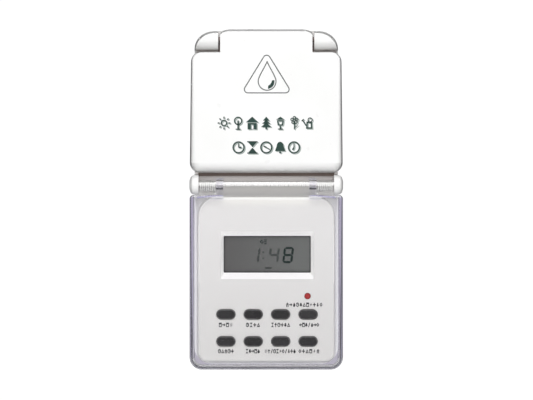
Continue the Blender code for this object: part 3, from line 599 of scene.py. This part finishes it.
def ink_mesh(name, groups, depth, material, thickness):
    """Thin printed marks: each group is a list of loops, where an inner loop is a hole."""
    builder = bmesh.new()
    for group in groups:
        curve = bpy.data.curves.new(name, "CURVE")
        curve.dimensions = "2D"
        curve.fill_mode = "BOTH"
        curve.extrude = thickness / 2
        for loop in group:
            spline = curve.splines.new("POLY")
            spline.points.add(len(loop) - 1)
            for place, (x, z) in zip(spline.points, loop):
                place.co = (x, z, 0.0, 1.0)
            spline.use_cyclic_u = True
        mesh = curve_mesh(curve)
        mesh.transform(Matrix.Translation((0, depth, 0)) @ Matrix.Rotation(math.radians(90), 4, "X"))
        builder.from_mesh(mesh)
        bpy.data.meshes.remove(mesh)
    bmesh.ops.remove_doubles(builder, verts=builder.verts, dist=0.0002 * MM)
    mesh = bpy.data.meshes.new(name)
    builder.to_mesh(mesh)
    builder.free()
    return add_object(name, mesh, material)


def offset_loop(points, distance):
    """A closed loop moved sideways by distance."""
    count = len(points)
    moved = []
    for i, point in enumerate(points):
        here = Vector(point)
        before = (here - Vector(points[i - 1])).normalized()
        after = (Vector(points[(i + 1) % count]) - here).normalized()
        normal = Vector((before.y + after.y, -before.x - after.x)).normalized()
        square = max(0.4, normal.dot(Vector((before.y, -before.x))))
        moved.append(tuple(here + normal * (distance / square)))
    return moved


def line_loop(points, width):
    """A closed line of the given width, as an outer and an inner loop."""
    return [offset_loop(points, width / 2), offset_loop(points, -width / 2)]


def bar(start, end, width):
    a, b = Vector(start), Vector(end)
    side = (b - a).normalized().orthogonal() * (width / 2)
    return [[tuple(a + side), tuple(b + side), tuple(b - side), tuple(a - side)]]


def disc(centre, radius, steps):
    return [circle(radius, steps, centre)]


def ring(centre, radius, width, steps=28):
    return [circle(radius, steps, centre), circle(radius - width, steps, centre)]


def placed(groups, centre, size, squeeze=1.0):
    """Marks drawn in a unit box, scaled and moved to their place."""
    return [[[(centre[0] + x * size * squeeze, centre[1] + z * size) for x, z in loop] for loop in group]
            for group in groups]


def sun_mark():
    groups = [ring((0, 0), 0.26, 0.1)]
    for step in range(8):
        turn = math.radians(45 * step)
        direction = Vector((math.cos(turn), math.sin(turn)))
        groups.append(bar(direction * 0.34, direction * 0.5, 0.1))
    return groups


def leafy_tree_mark():
    trunk = bar((0, -0.5), (0, 0.2), 0.12)
    return [ring((0, 0.17), 0.33, 0.1), trunk, bar((-0.2, -0.48), (0.2, -0.48), 0.08)]


def fir_mark():
    groups = [bar((0, -0.5), (0, -0.3), 0.14)]
    for base, half, height in ((-0.32, 0.42, 0.36), (-0.06, 0.34, 0.32), (0.18, 0.26, 0.32)):
        groups.append([[(-half, base), (half, base), (0, base + height)]])
    return groups


def house_mark():
    roof = [(-0.5, 0.05), (0.5, 0.05), (0, 0.5)]
    walls = [(-0.36, -0.5), (0.36, -0.5), (0.36, 0.0), (-0.36, 0.0)]
    door = [(-0.1, -0.5 + 0.04), (0.1, -0.5 + 0.04), (0.1, -0.12), (-0.1, -0.12)]
    return [[roof], [walls, door]]


def flower_mark():
    groups = [bar((0, -0.5), (0, 0.0), 0.09), [[(0.0, -0.42), (0.34, -0.14), (0.1, -0.22)]]]
    for step in range(5):
        turn = math.radians(90 + 72 * step)
        groups.append(ring((0.19 * math.cos(turn), 0.22 + 0.19 * math.sin(turn)), 0.14, 0.075, 16))
    return groups


def lantern_mark():
    glass = [(-0.2, -0.2), (0.2, -0.2), (0.28, 0.22), (-0.28, 0.22)]
    inner = [(-0.1, -0.1), (0.1, -0.1), (0.16, 0.13), (-0.16, 0.13)]
    cap = [(-0.34, 0.26), (0.34, 0.26), (0, 0.5)]
    return [[glass, inner], [cap], bar((0, -0.5), (0, -0.22), 0.12), bar((-0.2, -0.47), (0.2, -0.47), 0.08)]


def can_mark():
    body = [(-0.2, -0.45), (0.3, -0.45), (0.26, 0.12), (-0.16, 0.12)]
    inner = [(-0.08, -0.33), (0.18, -0.33), (0.16, 0.0), (-0.06, 0.0)]
    return [[body, inner], bar((-0.2, -0.2), (-0.46, 0.22), 0.09), bar((-0.54, 0.16), (-0.36, 0.3), 0.09),
            ring((0.12, 0.24), 0.2, 0.08)]


def clock_mark(hour_turn, minute_turn, weight=1.0):
    groups = [ring((0, 0), 0.5, 0.12 * weight)]
    for turn, reach, width in ((hour_turn, 0.24, 0.12), (minute_turn, 0.34, 0.08)):
        angle = math.radians(90 - turn)
        groups.append(bar((0, 0), (reach * math.cos(angle), reach * math.sin(angle)), width * weight))
    return groups


def hourglass_mark():
    return [[[(-0.34, 0.42), (0.34, 0.42), (0, 0.02)]], [[(-0.34, -0.42), (0.34, -0.42), (0, -0.02)]],
            bar((-0.42, 0.46), (0.42, 0.46), 0.1), bar((-0.42, -0.46), (0.42, -0.46), 0.1)]


def bell_mark():
    body = arc((0, 0.1), (0.28, 0.36), 0, 180, 10) + [(-0.42, -0.3), (0.42, -0.3)]
    return [[body], disc((0, -0.4), 0.09, 12)]


# ---------------------------------------------------------------- white lid

def lid_rounds():
    """A full round along the lid's lower edge, which fades into a small one at the sides and the top."""
    rounds = []
    lip_round, edge_round, fade = 4.0 * MM, 0.9 * MM, 7.5 * MM
    for _, z in shape_outline(LID):
        share = min(1.0, max(0.0, (z - LID.bottom) / fade))
        blend = share * share * (3 - 2 * share)
        rounds.append(lip_round + (edge_round - lip_round) * blend)
    return rounds


def make_tongue():
    """The lid's hinge tongue: a sloped front, a round top over the pin, and drafted sides."""
    half = 19.6 * MM
    profile = [(LID_FRONT, 23.6 * MM)]
    profile += arc((LID_FRONT + 0.4 * MM, 33.5 * MM), (0.4 * MM, 0.4 * MM), 180, 102, 6)
    profile += arc((LID_AXIS.y, LID_AXIS.z), (BARREL_RADIUS, BARREL_RADIUS), 90, 0, 18)
    profile += [(LID_AXIS.y + BARREL_RADIUS, 24.9 * MM)]
    rings = []
    for y, reach, top in ((-52.3, half, 34.8), (-57.7, half, 34.8), (-63.0, half - 0.15 * MM, 33.7)):
        front_view = Shape(reach, reach, LID.bottom, top * MM, (MM, MM), (5.0 * MM, 1.9 * MM))
        rings.append(at_depth(shape_outline(front_view), y * MM))
    return keep_shared(prism_x("tongue", profile, -half, half), loft("limit", rings))


def make_lid():
    lid = tray("lid_shell", LID, lid_rounds(), LID_BACK, LID_FRONT, LID_WALL, LID_PLATE, 0.6 * MM, WHITE)
    join(lid, make_tongue())
    coil_room = 8.5 * MM
    cut(
        lid,
        rod_x("pin_bore", 1.2 * MM, LID_AXIS, -25 * MM, 25 * MM),
        rod_x("coil_room", 3.0 * MM, LID_AXIS, -coil_room, coil_room),
        block("coil_mouth", (-coil_room, coil_room), (LID_AXIS.y, -50 * MM), (27.5 * MM, 33.1 * MM)),
    )
    soften(lid, 0.3 * MM, 2, 40)
    return fit_piece(shade(lid), "socket_lid", "housing_white", "socket_lid")


def print_on_lid(name, groups, depth, material, thickness=PRINT_THICKNESS):
    fit_piece(ink_mesh(name, groups, depth, material, thickness), "socket_lid", "button_rubber")


def make_lid_print():
    """A drop in a triangle, a row of outdoor signs and a row of time signs, each with a soft shadow."""
    face = LID_FRONT - 0.015 * MM
    triangle = rounded_triangle((0.2 * MM, 14.65 * MM), 7.95 * MM, 12.9 * MM, 1.5 * MM)
    drop = drop_outline((0.35 * MM, 12.6 * MM), 3.75 * MM, 20.9 * MM)
    line = 0.46 * MM
    print_on_lid("splash_sign", [line_loop(triangle, line), line_loop(drop, line)], face, LINE_INK)
    crescent = arc((0.35 * MM, 12.5 * MM), (3.15 * MM, 3.1 * MM), -84, 12, 14)
    crescent += arc((-0.35 * MM, 13.3 * MM), (2.75 * MM, 2.75 * MM), -6, -66, 12)
    print_on_lid("splash_sign_shade", [[crescent]], face, INK)
    outdoor = [sun_mark(), leafy_tree_mark(), house_mark(), fir_mark(), lantern_mark(), flower_mark(),
               can_mark()]
    times = [clock_mark(90, 0), hourglass_mark(), clock_mark(300, 120), bell_mark(), clock_mark(210, 0)]
    shadow = Vector((0.45 * MM, -0.4 * MM))
    for name, marks, pitch, z, size in (("outdoor_signs", outdoor, 5.95, -5.0, 5.4),
                                        ("time_signs", times, 5.85, -15.3, 5.2)):
        groups = []
        for i, mark in enumerate(marks):
            x = (i - (len(marks) - 1) / 2) * pitch
            groups += placed(mark, (x * MM, z * MM), size * MM)
        print_on_lid(name + "_shadow", placed(groups, shadow, 1.0), face + 0.012 * MM, SHADE_INK, 0.02 * MM)
        print_on_lid(name, groups, face, INK)


def rounded_triangle(centre, half, height, radius):
    """A triangle that stands on its base; half and height are those of its round corners' centres."""
    low = centre[1] - height * 0.42
    corners = [(centre[0] + half, low, -90), (centre[0], low + height, 32), (centre[0] - half, low, 148)]
    turns = (122, 116, 122)
    points = []
    for (x, z, start), turn in zip(corners, turns):
        points += arc((x, z), (radius, radius), start, start + turn, 8)
    return points


def drop_outline(centre, radius, apex):
    """A drop: a round foot with sides that run up to a point."""
    touch = math.degrees(math.asin(radius / (apex - centre[1])))
    points = arc(centre, (radius, radius), -180 - touch, touch, 30)
    left, right = points[0], points[-1]
    swell, parts = 0.35 * MM, 8

    def on_side(foot, outwards, part):
        t = part / parts
        x = foot[0] + (centre[0] - foot[0]) * t + outwards * swell * math.sin(math.pi * t) * (0.6 - t)
        return x, foot[1] + (apex - foot[1]) * t

    points += [on_side(right, 1, part) for part in range(1, parts)]
    points.append((centre[0], apex))
    points += [on_side(left, -1, part) for part in range(parts - 1, 0, -1)]
    return points


# ---------------------------------------------------------------- clear cover and its hinge

def make_cover():
    rounds = [1.2 * MM if z > COVER.top - 3 * MM else 2.2 * MM for _, z in shape_outline(COVER)]
    cover = tray("clear_cover", COVER, rounds, COVER_BACK, COVER_FRONT, COVER_WALL, COVER_PLATE, 0.0, CLEAR)
    wide = 35 * MM
    inner_half = COVER.foot_half - COVER_WALL
    notch_half = COVER_NOTCH_HALF_WIDTH
    behind, above = -40 * MM, -30 * MM
    cut(
        cover,
        block("notch", (-notch_half, notch_half), (-70 * MM, behind), (COVER_NOTCH_BOTTOM, above)),
        block("behind_lip", (-inner_half, inner_half), (COVER_LIP_BACK, behind), (-40 * MM, above)),
        block("lug_room", (-wide, wide), (COVER_LIP_BACK, behind), (COVER.top - 1.0 * MM, above)),
    )
    for side in (-1, 1):
        eye = arc((COVER_AXIS.y, COVER_AXIS.z), (EYE_RADIUS, EYE_RADIUS), 170, -105, 30)
        foot = COVER.top - 1.2 * MM
        arm = [(COVER_LIP_BACK - 0.2 * MM, foot), (COVER_FRONT + 0.8 * MM, foot)]
        join(cover, prism_x("eye", eye + arm, side * EYE_SPAN[0], side * EYE_SPAN[1]))
    cut(cover, rod_x("pin_bore", 1.15 * MM, COVER_AXIS, -25 * MM, 25 * MM))
    soften(cover, 0.25 * MM, 2, 40)
    return fit_piece(shade(cover), "timer_cover", "clear_plastic", "timer_cover")


def make_cover_rims():
    """The clear cover's upper edge, beside its two arms, drawn as an opaque lilac strip: partly the plastic's
    own tint seen along its thickness, partly painted shade of the edge.
    """
    for name, side in (("left", -1), ("right", 1)):
        lower = [(29.3, -36.8), (20.9, -36.05), (18.4, -36.05)]
        upper = [(18.4, -35.5), (21.0, -35.5), (29.3, -36.25)]
        outline = [(side * x * MM, z * MM) for x, z in lower + upper]
        rim = prism_y(f"cover_rim_{name}", outline, -61.2 * MM, -60.9 * MM, LILAC)
        fit_piece(rim, "timer_cover", "clear_plastic")


def coil_mesh(name, axis, radius, x_range, turns, wire, lead, tail):
    """A close-wound spring about a line along X, with straight ends to the points lead and tail."""
    steps = 24
    x_start, x_end = x_range
    points = [Vector(p) for p in lead]
    for i in range(turns * steps + 1):
        angle = 2 * math.pi * i / steps
        x = x_start + (x_end - x_start) * i / (turns * steps)
        points.append(Vector((x, axis.y + radius * math.cos(angle), axis.z + radius * math.sin(angle))))
    points += [Vector(p) for p in tail]
    curve = bpy.data.curves.new(name, "CURVE")
    curve.dimensions = "3D"
    curve.bevel_depth = wire
    curve.bevel_resolution = 2
    curve.use_fill_caps = True
    spline = curve.splines.new("POLY")
    spline.points.add(len(points) - 1)
    for place, point in zip(spline.points, points):
        place.co = (*point, 1.0)
    made = add_object(name, curve_mesh(curve), SPRING_STEEL)
    made.data.shade_smooth()
    return made


def fit_spring(spring, body, start, end, node):
    """Bakes a spring's placement into its mesh and hides the CAD node it replaces; body, start and end are
    not used.
    """
    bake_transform(spring)
    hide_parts(node)


def make_springs():
    axis = COVER_AXIS + Vector((0, 0, -0.82 * MM))
    leg = -34.75 * MM
    for name, side in (("left", -1), ("right", 1)):
        start, end = side * 28.2 * MM, side * 21.7 * MM
        lead = [(start, -51.4 * MM, axis.z - 1.4 * MM)]
        tail = [(end, axis.y + 1.2 * MM, leg), (end, -59.2 * MM, leg)]
        coil = coil_mesh(f"cover_coil_{name}", axis, COIL_RADIUS, (start, end), 8, COIL_WIRE, lead, tail)
        ends = (start, axis.y, axis.z), (end, axis.y, axis.z)
        fit_spring(coil, "timer_cover", *ends, f"cover_spring_{name}")
    reach = 7.0 * MM
    lead = [(-reach, LID_AXIS.y + 1.0 * MM, LID_AXIS.z + 2.4 * MM)]
    tail = [(7.2 * MM, LID_AXIS.y + 2.1 * MM, LID_AXIS.z - 1.6 * MM)]
    coil = coil_mesh("lid_coil", LID_AXIS, 2.1 * MM, (-reach, reach), 14, 0.22 * MM, lead, tail)
    fit_spring(coil, "socket_lid", (-reach, 0, 0), (reach, 0, 0), "lid_spring")


def make_shutter_wire():
    """The bent wire that returns the safety shutter."""
    builder = bmesh.new()
    builder.from_mesh(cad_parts["shutter_spring"].data)
    wire = object_from("shutter_wire", builder, SPRING_STEEL)
    wire.data.shade_smooth()
    y = -33.65 * MM
    fit_spring(wire, "shutter", (2.6 * MM, y, -12.0 * MM), (8.6 * MM, y, -5.1 * MM), "shutter_spring")


def make_hinge_pins():
    for name, node, axis, reach, full in (("cover_pin", "cover_hinge_pin", COVER_AXIS, 31.2, 1.1),
                                          ("lid_pin", "lid_hinge_pin", LID_AXIS, 28.0, 1.0)):
        reach = reach * MM
        rings = []
        for x, radius in ((-reach, 0.7), (-reach + 0.3 * MM, full), (reach - 0.3 * MM, full), (reach, 0.7)):
            rings.append([(x, y, z) for y, z in circle(radius * MM, 40, (axis.y, axis.z))])
        fit_piece(shade(loft(name, rings, BRIGHT_STEEL)), "housing", "steel", node)


# ---------------------------------------------------------------- timer

def button_places():
    for row, names in zip(BUTTON_ROWS, BUTTON_NAMES):
        for column, name in zip(BUTTON_COLUMNS, names):
            yield name, (column, row)


def display_opening():
    """The display's opening, which widens towards the front like a picture frame."""
    corner = (0.5 * MM, 0.5 * MM)
    shift = 0.4 * MM
    rings = []
    for y, share in ((-56.5, 1.29), (-54.3, 0.0), (-52.0, 0.0)):
        half = (18.5 + 1.3 * share) * MM
        opening = Shape(half, half, (-68.35 - 2.8 * share) * MM, (-52.75 + 2.2 * share) * MM, corner, corner)
        rings.append([(x + shift, y * MM, z) for x, z in shape_outline(opening)])
    return loft("display_opening", rings)


def make_panel():
    rounds = [0.9 * MM] * len(shape_outline(PANEL))
    wall, plate, draft = 1.6 * MM, 2.0 * MM, 0.2 * MM
    panel = tray("timer_front", PANEL, rounds, PANEL_BACK, PANEL_FRONT, wall, plate, draft, PANEL_WHITE)
    cut(panel, display_opening())
    front, behind = -60 * MM, -53 * MM
    for _, place in button_places():
        hole = stadium(BUTTON_HALF[0] + 0.02 * MM, BUTTON_HALF[1] + 0.05 * MM, place)
        cut(panel, prism_y("button_hole", hole, front, behind))
    cut(panel, prism_y("reset_hole", circle(1.4 * MM, 32, RESET_CENTRE), front, behind))
    soften(panel, 0.15 * MM, 2, 25)
    return fit_piece(shade(panel, 25), "housing", "panel_white", "timer_panel")


def make_buttons():
    profile = ((-52.7, 0.65), (-53.7, 0.65), (-53.71, -0.12), (-56.5, -0.12), (-56.85, -0.22),
               (-57.1, -0.42), (-57.18, -0.6), (-57.22, -0.8), (-57.28, -1.1))
    for name, place in button_places():
        rings = [at_depth(stadium(BUTTON_HALF[0] + grow * MM, BUTTON_HALF[1] + grow * MM, place), y * MM)
                 for y, grow in profile]
        body = f"button_{name}"
        fit_piece(shade(loft(f"cap_{name}", rings, BUTTON), 50), body, "button_rubber", body)
    profile = ((2.2, -52.7), (2.2, -53.7), (1.25, -53.71), (1.25, -55.4), (1.15, -55.65), (0.9, -55.8),
               (0.5, -55.86))
    cap = lathe_y("cap_reset", [(r * MM, y * MM) for r, y in profile], RESET_CENTRE, 40, RED)
    fit_piece(shade(cap, 50), "reset_button", "reset_red", "reset_button")


def leaf_mark():
    """A calendar leaf: an open square with a thick head."""
    sheet = [(-0.45, -0.5), (0.45, -0.5), (0.45, 0.5), (-0.45, 0.5)]
    inner = [(-0.23, -0.3), (0.23, -0.3), (0.23, 0.14), (-0.23, 0.14)]
    return [[sheet, inner]]


def plus_mark():
    arms = [bar((-0.46, 0), (-0.13, 0), 0.24), bar((0.13, 0), (0.46, 0), 0.24)]
    return [bar((0, -0.45), (0, 0.45), 0.26)] + arms


def slash_mark():
    return [bar((-0.22, -0.5), (0.22, 0.5), 0.24)]


def bolt_mark():
    return [[[(0.2, 0.5), (-0.34, -0.06), (-0.02, -0.06), (-0.2, -0.5), (0.34, 0.08), (0.04, 0.08)]]]


def triangle_mark():
    return [[[(-0.5, -0.46), (0.5, -0.46), (0.0, 0.5)], [(-0.18, -0.26), (0.18, -0.26), (0.0, 0.1)]]]


def diamond_mark():
    return [[[(0.5, 0), (0, 0.5), (-0.5, 0), (0, -0.5)], [(0.2, 0), (0, 0.2), (-0.2, 0), (0, -0.2)]]]


def drop_mark():
    return [[arc((0, -0.15), (0.35, 0.35), -210, 30, 14) + [(0.0, 0.5)]]]


def arrow_mark(turn):
    """An arrow with a shaft, which points along turn."""
    along = Vector((math.cos(math.radians(turn)), math.sin(math.radians(turn))))
    side = Vector((-along.y, along.x))
    head = [tuple(along * 0.5), tuple(side * 0.42), tuple(side * -0.42)]
    return [bar(along * -0.5, along * -0.02, 0.24), [head]]


def label_rows():
    """Small signs under the buttons: what each one sets, with no words."""
    leaf, plus, slash, bolt, three = leaf_mark(), plus_mark(), slash_mark(), bolt_mark(), triangle_mark()
    up, right, left, drop, gem = arrow_mark(90), arrow_mark(0), arrow_mark(180), drop_mark(), diamond_mark()
    sun, fir, house, bell, glass = sun_mark(), fir_mark(), house_mark(), bell_mark(), hourglass_mark()
    clock = clock_mark(90, 0, 1.7)
    return {
        "week": (-17.2, -4.45, 5.9, [leaf, right, leaf, sun]),
        "hour": (-5.65, -4.45, 6.0, [clock, glass, plus, three]),
        "minute": (6.05, -4.45, 8.2, [glass, up, clock, plus, bell, three]),
        "recall": (18.2, -4.45, 8.6, [left, leaf, bell, slash, drop, right, gem]),
        "clock": (-17.1, -4.15, 6.8, [clock, three, house, clock, plus]),
        "timer": (-5.7, -4.15, 6.3, [glass, bell, right, leaf, drop]),
        "mode": (5.95, -4.15, 13.4, [sun, up, slash, clock, glass, bolt, gem, slash, fir, plus, drop]),
        "random": (18.1, -4.15, 9.0, [gem, plus, three, leaf, bolt, house]),
        "reset": (16.1, -3.65, 15.6, [house, right, drop, clock, bell, three, leaf, bolt, plus, fir, gem]),
    }


def make_labels():
    face = PANEL_FRONT - 0.012 * MM
    heights = {name: z for name, (_, z) in button_places()}
    heights["reset"] = RESET_CENTRE[1]
    groups = []
    size, squeeze = 1.85, 0.72
    for name, (centre, below, width, marks) in label_rows().items():
        pitch = (width - size * squeeze) / (len(marks) - 1)
        for i, mark in enumerate(marks):
            x = centre + (i - (len(marks) - 1) / 2) * pitch
            groups += placed(mark, (x * MM, heights[name] + below * MM), size * MM, squeeze)
    fit_piece(ink_mesh("button_signs", groups, face, LABEL_INK, 0.024 * MM), "housing", "button_rubber")


SEGMENTS = {
    "a": ((0.16, 1.0), (0.84, 1.0)),
    "b": ((1.0, 0.92), (1.0, 0.58)),
    "c": ((1.0, 0.42), (1.0, 0.08)),
    "d": ((0.16, 0.0), (0.84, 0.0)),
    "e": ((0.0, 0.42), (0.0, 0.08)),
    "f": ((0.0, 0.92), (0.0, 0.58)),
    "g": ((0.16, 0.5), (0.84, 0.5)),
}
FIGURES = {"1": "bc", "4": "fgbc", "8": "abcdefg"}


def figure(character, left, width, height, foot, stroke, slant):
    groups = []
    for name in FIGURES[character]:
        ends = []
        for u, v in SEGMENTS[name]:
            ends.append((left + u * width + v * height * slant, foot + v * height))
        a, b = (Vector(end) for end in ends)
        along = (b - a).normalized() * (stroke / 2)
        side = Vector((-along.y, along.x))
        corners = (a - along, a + side, b + side, b + along, b - side, a - side)
        groups.append([[tuple(corner) for corner in corners]])
    return groups


def make_display():
    """Figures, a day sign and a line on the display: some strong, some faint."""
    paint("display_panel", DISPLAY)
    size = (3.4 * MM, 6.0 * MM, -63.9 * MM, 0.95 * MM, 0.13)
    dots = [disc((0, 0.5), 0.14, 10), disc((0, -0.5), 0.14, 10)]
    faint = figure("4", 1.2 * MM, *size) + figure("1", -7.0 * MM, *size)
    faint += placed(dots, (-1.3 * MM, -61.0 * MM), 2.6 * MM)
    faint += [bar((-0.5 * MM, -66.4 * MM), (2.4 * MM, -66.4 * MM), 0.8 * MM)]
    strong = figure("8", 7.2 * MM, *size) + [ring((-1.9 * MM, -55.3 * MM), 0.75 * MM, 0.4 * MM)]
    strong += [bar((-0.9 * MM, z * MM), (0.2 * MM, z * MM), 0.42 * MM) for z in (-54.5, -55.3, -56.1)]
    for name, groups, ink in (("display_marks", faint, FAINT_INK), ("display_figures", strong, DIGIT_INK)):
        fit_piece(ink_mesh(name, groups, DISPLAY_FACE, ink, 0.02 * MM), "housing", "button_rubber")


# ---------------------------------------------------------------- casing and everything else

def barrel_mould():
    """What lies outside the barrels' drafted outline at the casing's top."""
    rings = []
    for y, half, top in ((-62.5, 29.75, 32.9), (-53.0, 30.5, 34.1), (-50.0, 30.5, 34.45)):
        shape = Shape(half * MM, half * MM, -20 * MM, top * MM, (MM, MM), (8.2 * MM, 7.3 * MM))
        rings.append(at_depth(shape_outline(shape), y * MM))
    around = block("around", (-36 * MM, 36 * MM), (-70 * MM, -50.2 * MM), (25 * MM, 40 * MM))
    return cut(around, loft("kept", rings))


def make_casing():
    mould = barrel_mould()
    for node, name, material, width, cutter in (("front_housing", "casing_front", CASING, 0.3, mould),
                                                ("rear_housing", "casing_rear", CASING, 0.35, None),
                                                ("socket_insert", "outlet_insert", WHITE, 0.25, None)):
        fit_piece(cad_copy(node, name, material, width * MM, cutter), "housing", "housing_white", node)


NODE_MATERIALS = {
    SEAL: ("housing_gasket", "lid_seal", "contact_strip_lower", "contact_strip_upper"),
    STEEL: ("backup_battery", "housing_screw_1", "housing_screw_2", "housing_screw_3", "housing_screw_4"),
    NICKEL: ("plug_pin_live", "plug_pin_neutral", "socket_earth_clip"),
    BRASS: ("plug_earth_strip", "socket_contact_live", "socket_contact_neutral", "earth_link"),
    BLACK: ("contact_carrier", "controller_chip", "storage_capacitor", "switched_wire"),
    YELLOW: ("shutter", "film_capacitor"),
    PANE: ("display_window", "fuse"),
    MAT: ("keypad_mat", "ribbon_cable"),
    BOARD: ("logic_board", "power_board"),
    BLUE: ("relay", "varistor", "neutral_wire"),
    BROWN: ("live_wire",),
}


def make_lid_shadow_strip():
    """A dark strip the lid's lower edge closes on, standing for the shadow in the gap under the lid: a
    painted shadow.
    """
    half = 28.9 * MM
    strip = block("lid_shadow_strip", (-half, half), (-53.27 * MM, -53.02 * MM), (-27.3 * MM, -24.6 * MM), SHADOW_STRIP)
    fit_piece(strip, "housing", "seal_rubber")


def paint(node, material):
    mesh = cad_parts[node].data
    mesh.materials.clear()
    mesh.materials.append(material)


def paint_nodes():
    for material, names in NODE_MATERIALS.items():
        for name in names:
            paint(name, material)


# ---------------------------------------------------------------- stage, light and camera

LIT_POINT = (0, -0.05, -0.04)
CAMERA_DISTANCE = 1.35
FACE_DEPTH = 0.06  # the plane in which the view is VIEW_WIDTH wide
VIEW_WIDTH = 0.2254057


def make_stage():
    material = moulded("pale_floor", (0.92, 0.92, 0.92), (0.90, 0.90, 0.90), 0.7, grain=300.0, bump=0.05)
    floor = prism_y("floor", circle(1.0, 96), 0.0, 0.004, material)
    floor.matrix_world = Matrix.Translation((0, 0, -0.20)) @ Matrix.Rotation(math.radians(-90), 4, "X")
    floor.visible_diffuse = False
    floor.visible_shadow = False


def area_light(name, place, size, power):
    """A rectangular lamp that faces the object."""
    lamp = bpy.data.lights.new(name, "AREA")
    lamp.shape = "RECTANGLE"
    lamp.size, lamp.size_y = size
    lamp.energy = power
    holder = bpy.data.objects.new(name, lamp)
    bpy.context.scene.collection.objects.link(holder)
    holder.location = place
    holder.rotation_euler = (Vector(LIT_POINT) - Vector(place)).to_track_quat("-Z", "Y").to_euler()
    return holder


def make_world():
    """White behind the object; shiny faces see a glow from above and in front, the clear cover a pale one."""
    world = bpy.data.worlds.new("studio")
    world.use_nodes = True
    tree = world.node_tree
    path = tree.nodes.new("ShaderNodeLightPath")
    direction = tree.nodes.new("ShaderNodeTexCoord").outputs["Generated"]
    split = added(tree, "SeparateXYZ", {"Vector": direction})
    top = spread(tree, split.outputs["Z"], 0.08, 0.18, 0.0, 0.8)
    front = spread(tree, split.outputs["Y"], 0.06, 0.0, -0.8, 0.0)
    glow = between(tree, combined(tree, "ADD", top, front), (0.0, 0.0, 0.0), (1.0, 1.0, 1.02))
    behind = spread(tree, split.outputs["Y"], 0.0, 1.0, -0.2, 0.5)
    through = between(tree, behind, (0.05, 0.05, 0.05), (0.50, 0.475, 0.55))
    seen = between(tree, path.outputs["Is Transmission Ray"], glow, through)
    colour = between(tree, path.outputs["Is Camera Ray"], seen, (1.05, 1.05, 1.05))
    feed(tree, tree.nodes["Background"], {"Color": colour})
    bpy.context.scene.world = world


def make_lamps():
    """Soft lamps that light the surfaces, and wide ones that only show as shine."""
    soft = [area_light("top", (0.0, -1.42, 0.58), (0.5, 0.8), 15.0),
            area_light("front", (0.0, -1.9, 0.0), (0.4, 0.4), 12.0),
            area_light("low", (0.0, -0.95, -1.0), (0.5, 0.4), 2.6),
            area_light("back", (0.0, 1.6, 0.2), (0.6, 0.6), 14.0)]
    shine = [area_light("top_shine", (0.0, -1.0, 0.62), (1.2, 1.15), 5.3),
             area_light("low_shine", (0.0, -1.06, -0.59), (1.2, 0.9), 2.5),
             area_light("high_shine", (0.0, -0.35, 1.2), (1.2, 0.6), 8.0)]
    for lamp in soft:
        lamp.visible_glossy = False
    for lamp in shine:
        lamp.visible_diffuse = False
    for lamp in soft + shine:
        lamp.visible_transmission = False


def make_camera():
    data = bpy.data.cameras.new("camera")
    data.sensor_width = 36.0
    data.lens = data.sensor_width * (CAMERA_DISTANCE - FACE_DEPTH) / VIEW_WIDTH
    camera = bpy.data.objects.new("camera", data)
    bpy.context.scene.collection.objects.link(camera)
    camera.location = (0.1 * MM, -CAMERA_DISTANCE, -37.5 * MM)
    camera.rotation_euler = (math.radians(90), 0, 0)
    bpy.context.scene.camera = camera
    bpy.context.scene.view_settings.view_transform = "Standard"


make_lid()
make_lid_print()
make_cover()
make_cover_rims()
make_springs()
make_shutter_wire()
make_hinge_pins()
make_panel()
make_buttons()
make_labels()
make_display()
make_casing()
make_lid_shadow_strip()
paint_nodes()
make_stage()
make_world()
make_lamps()
make_camera()
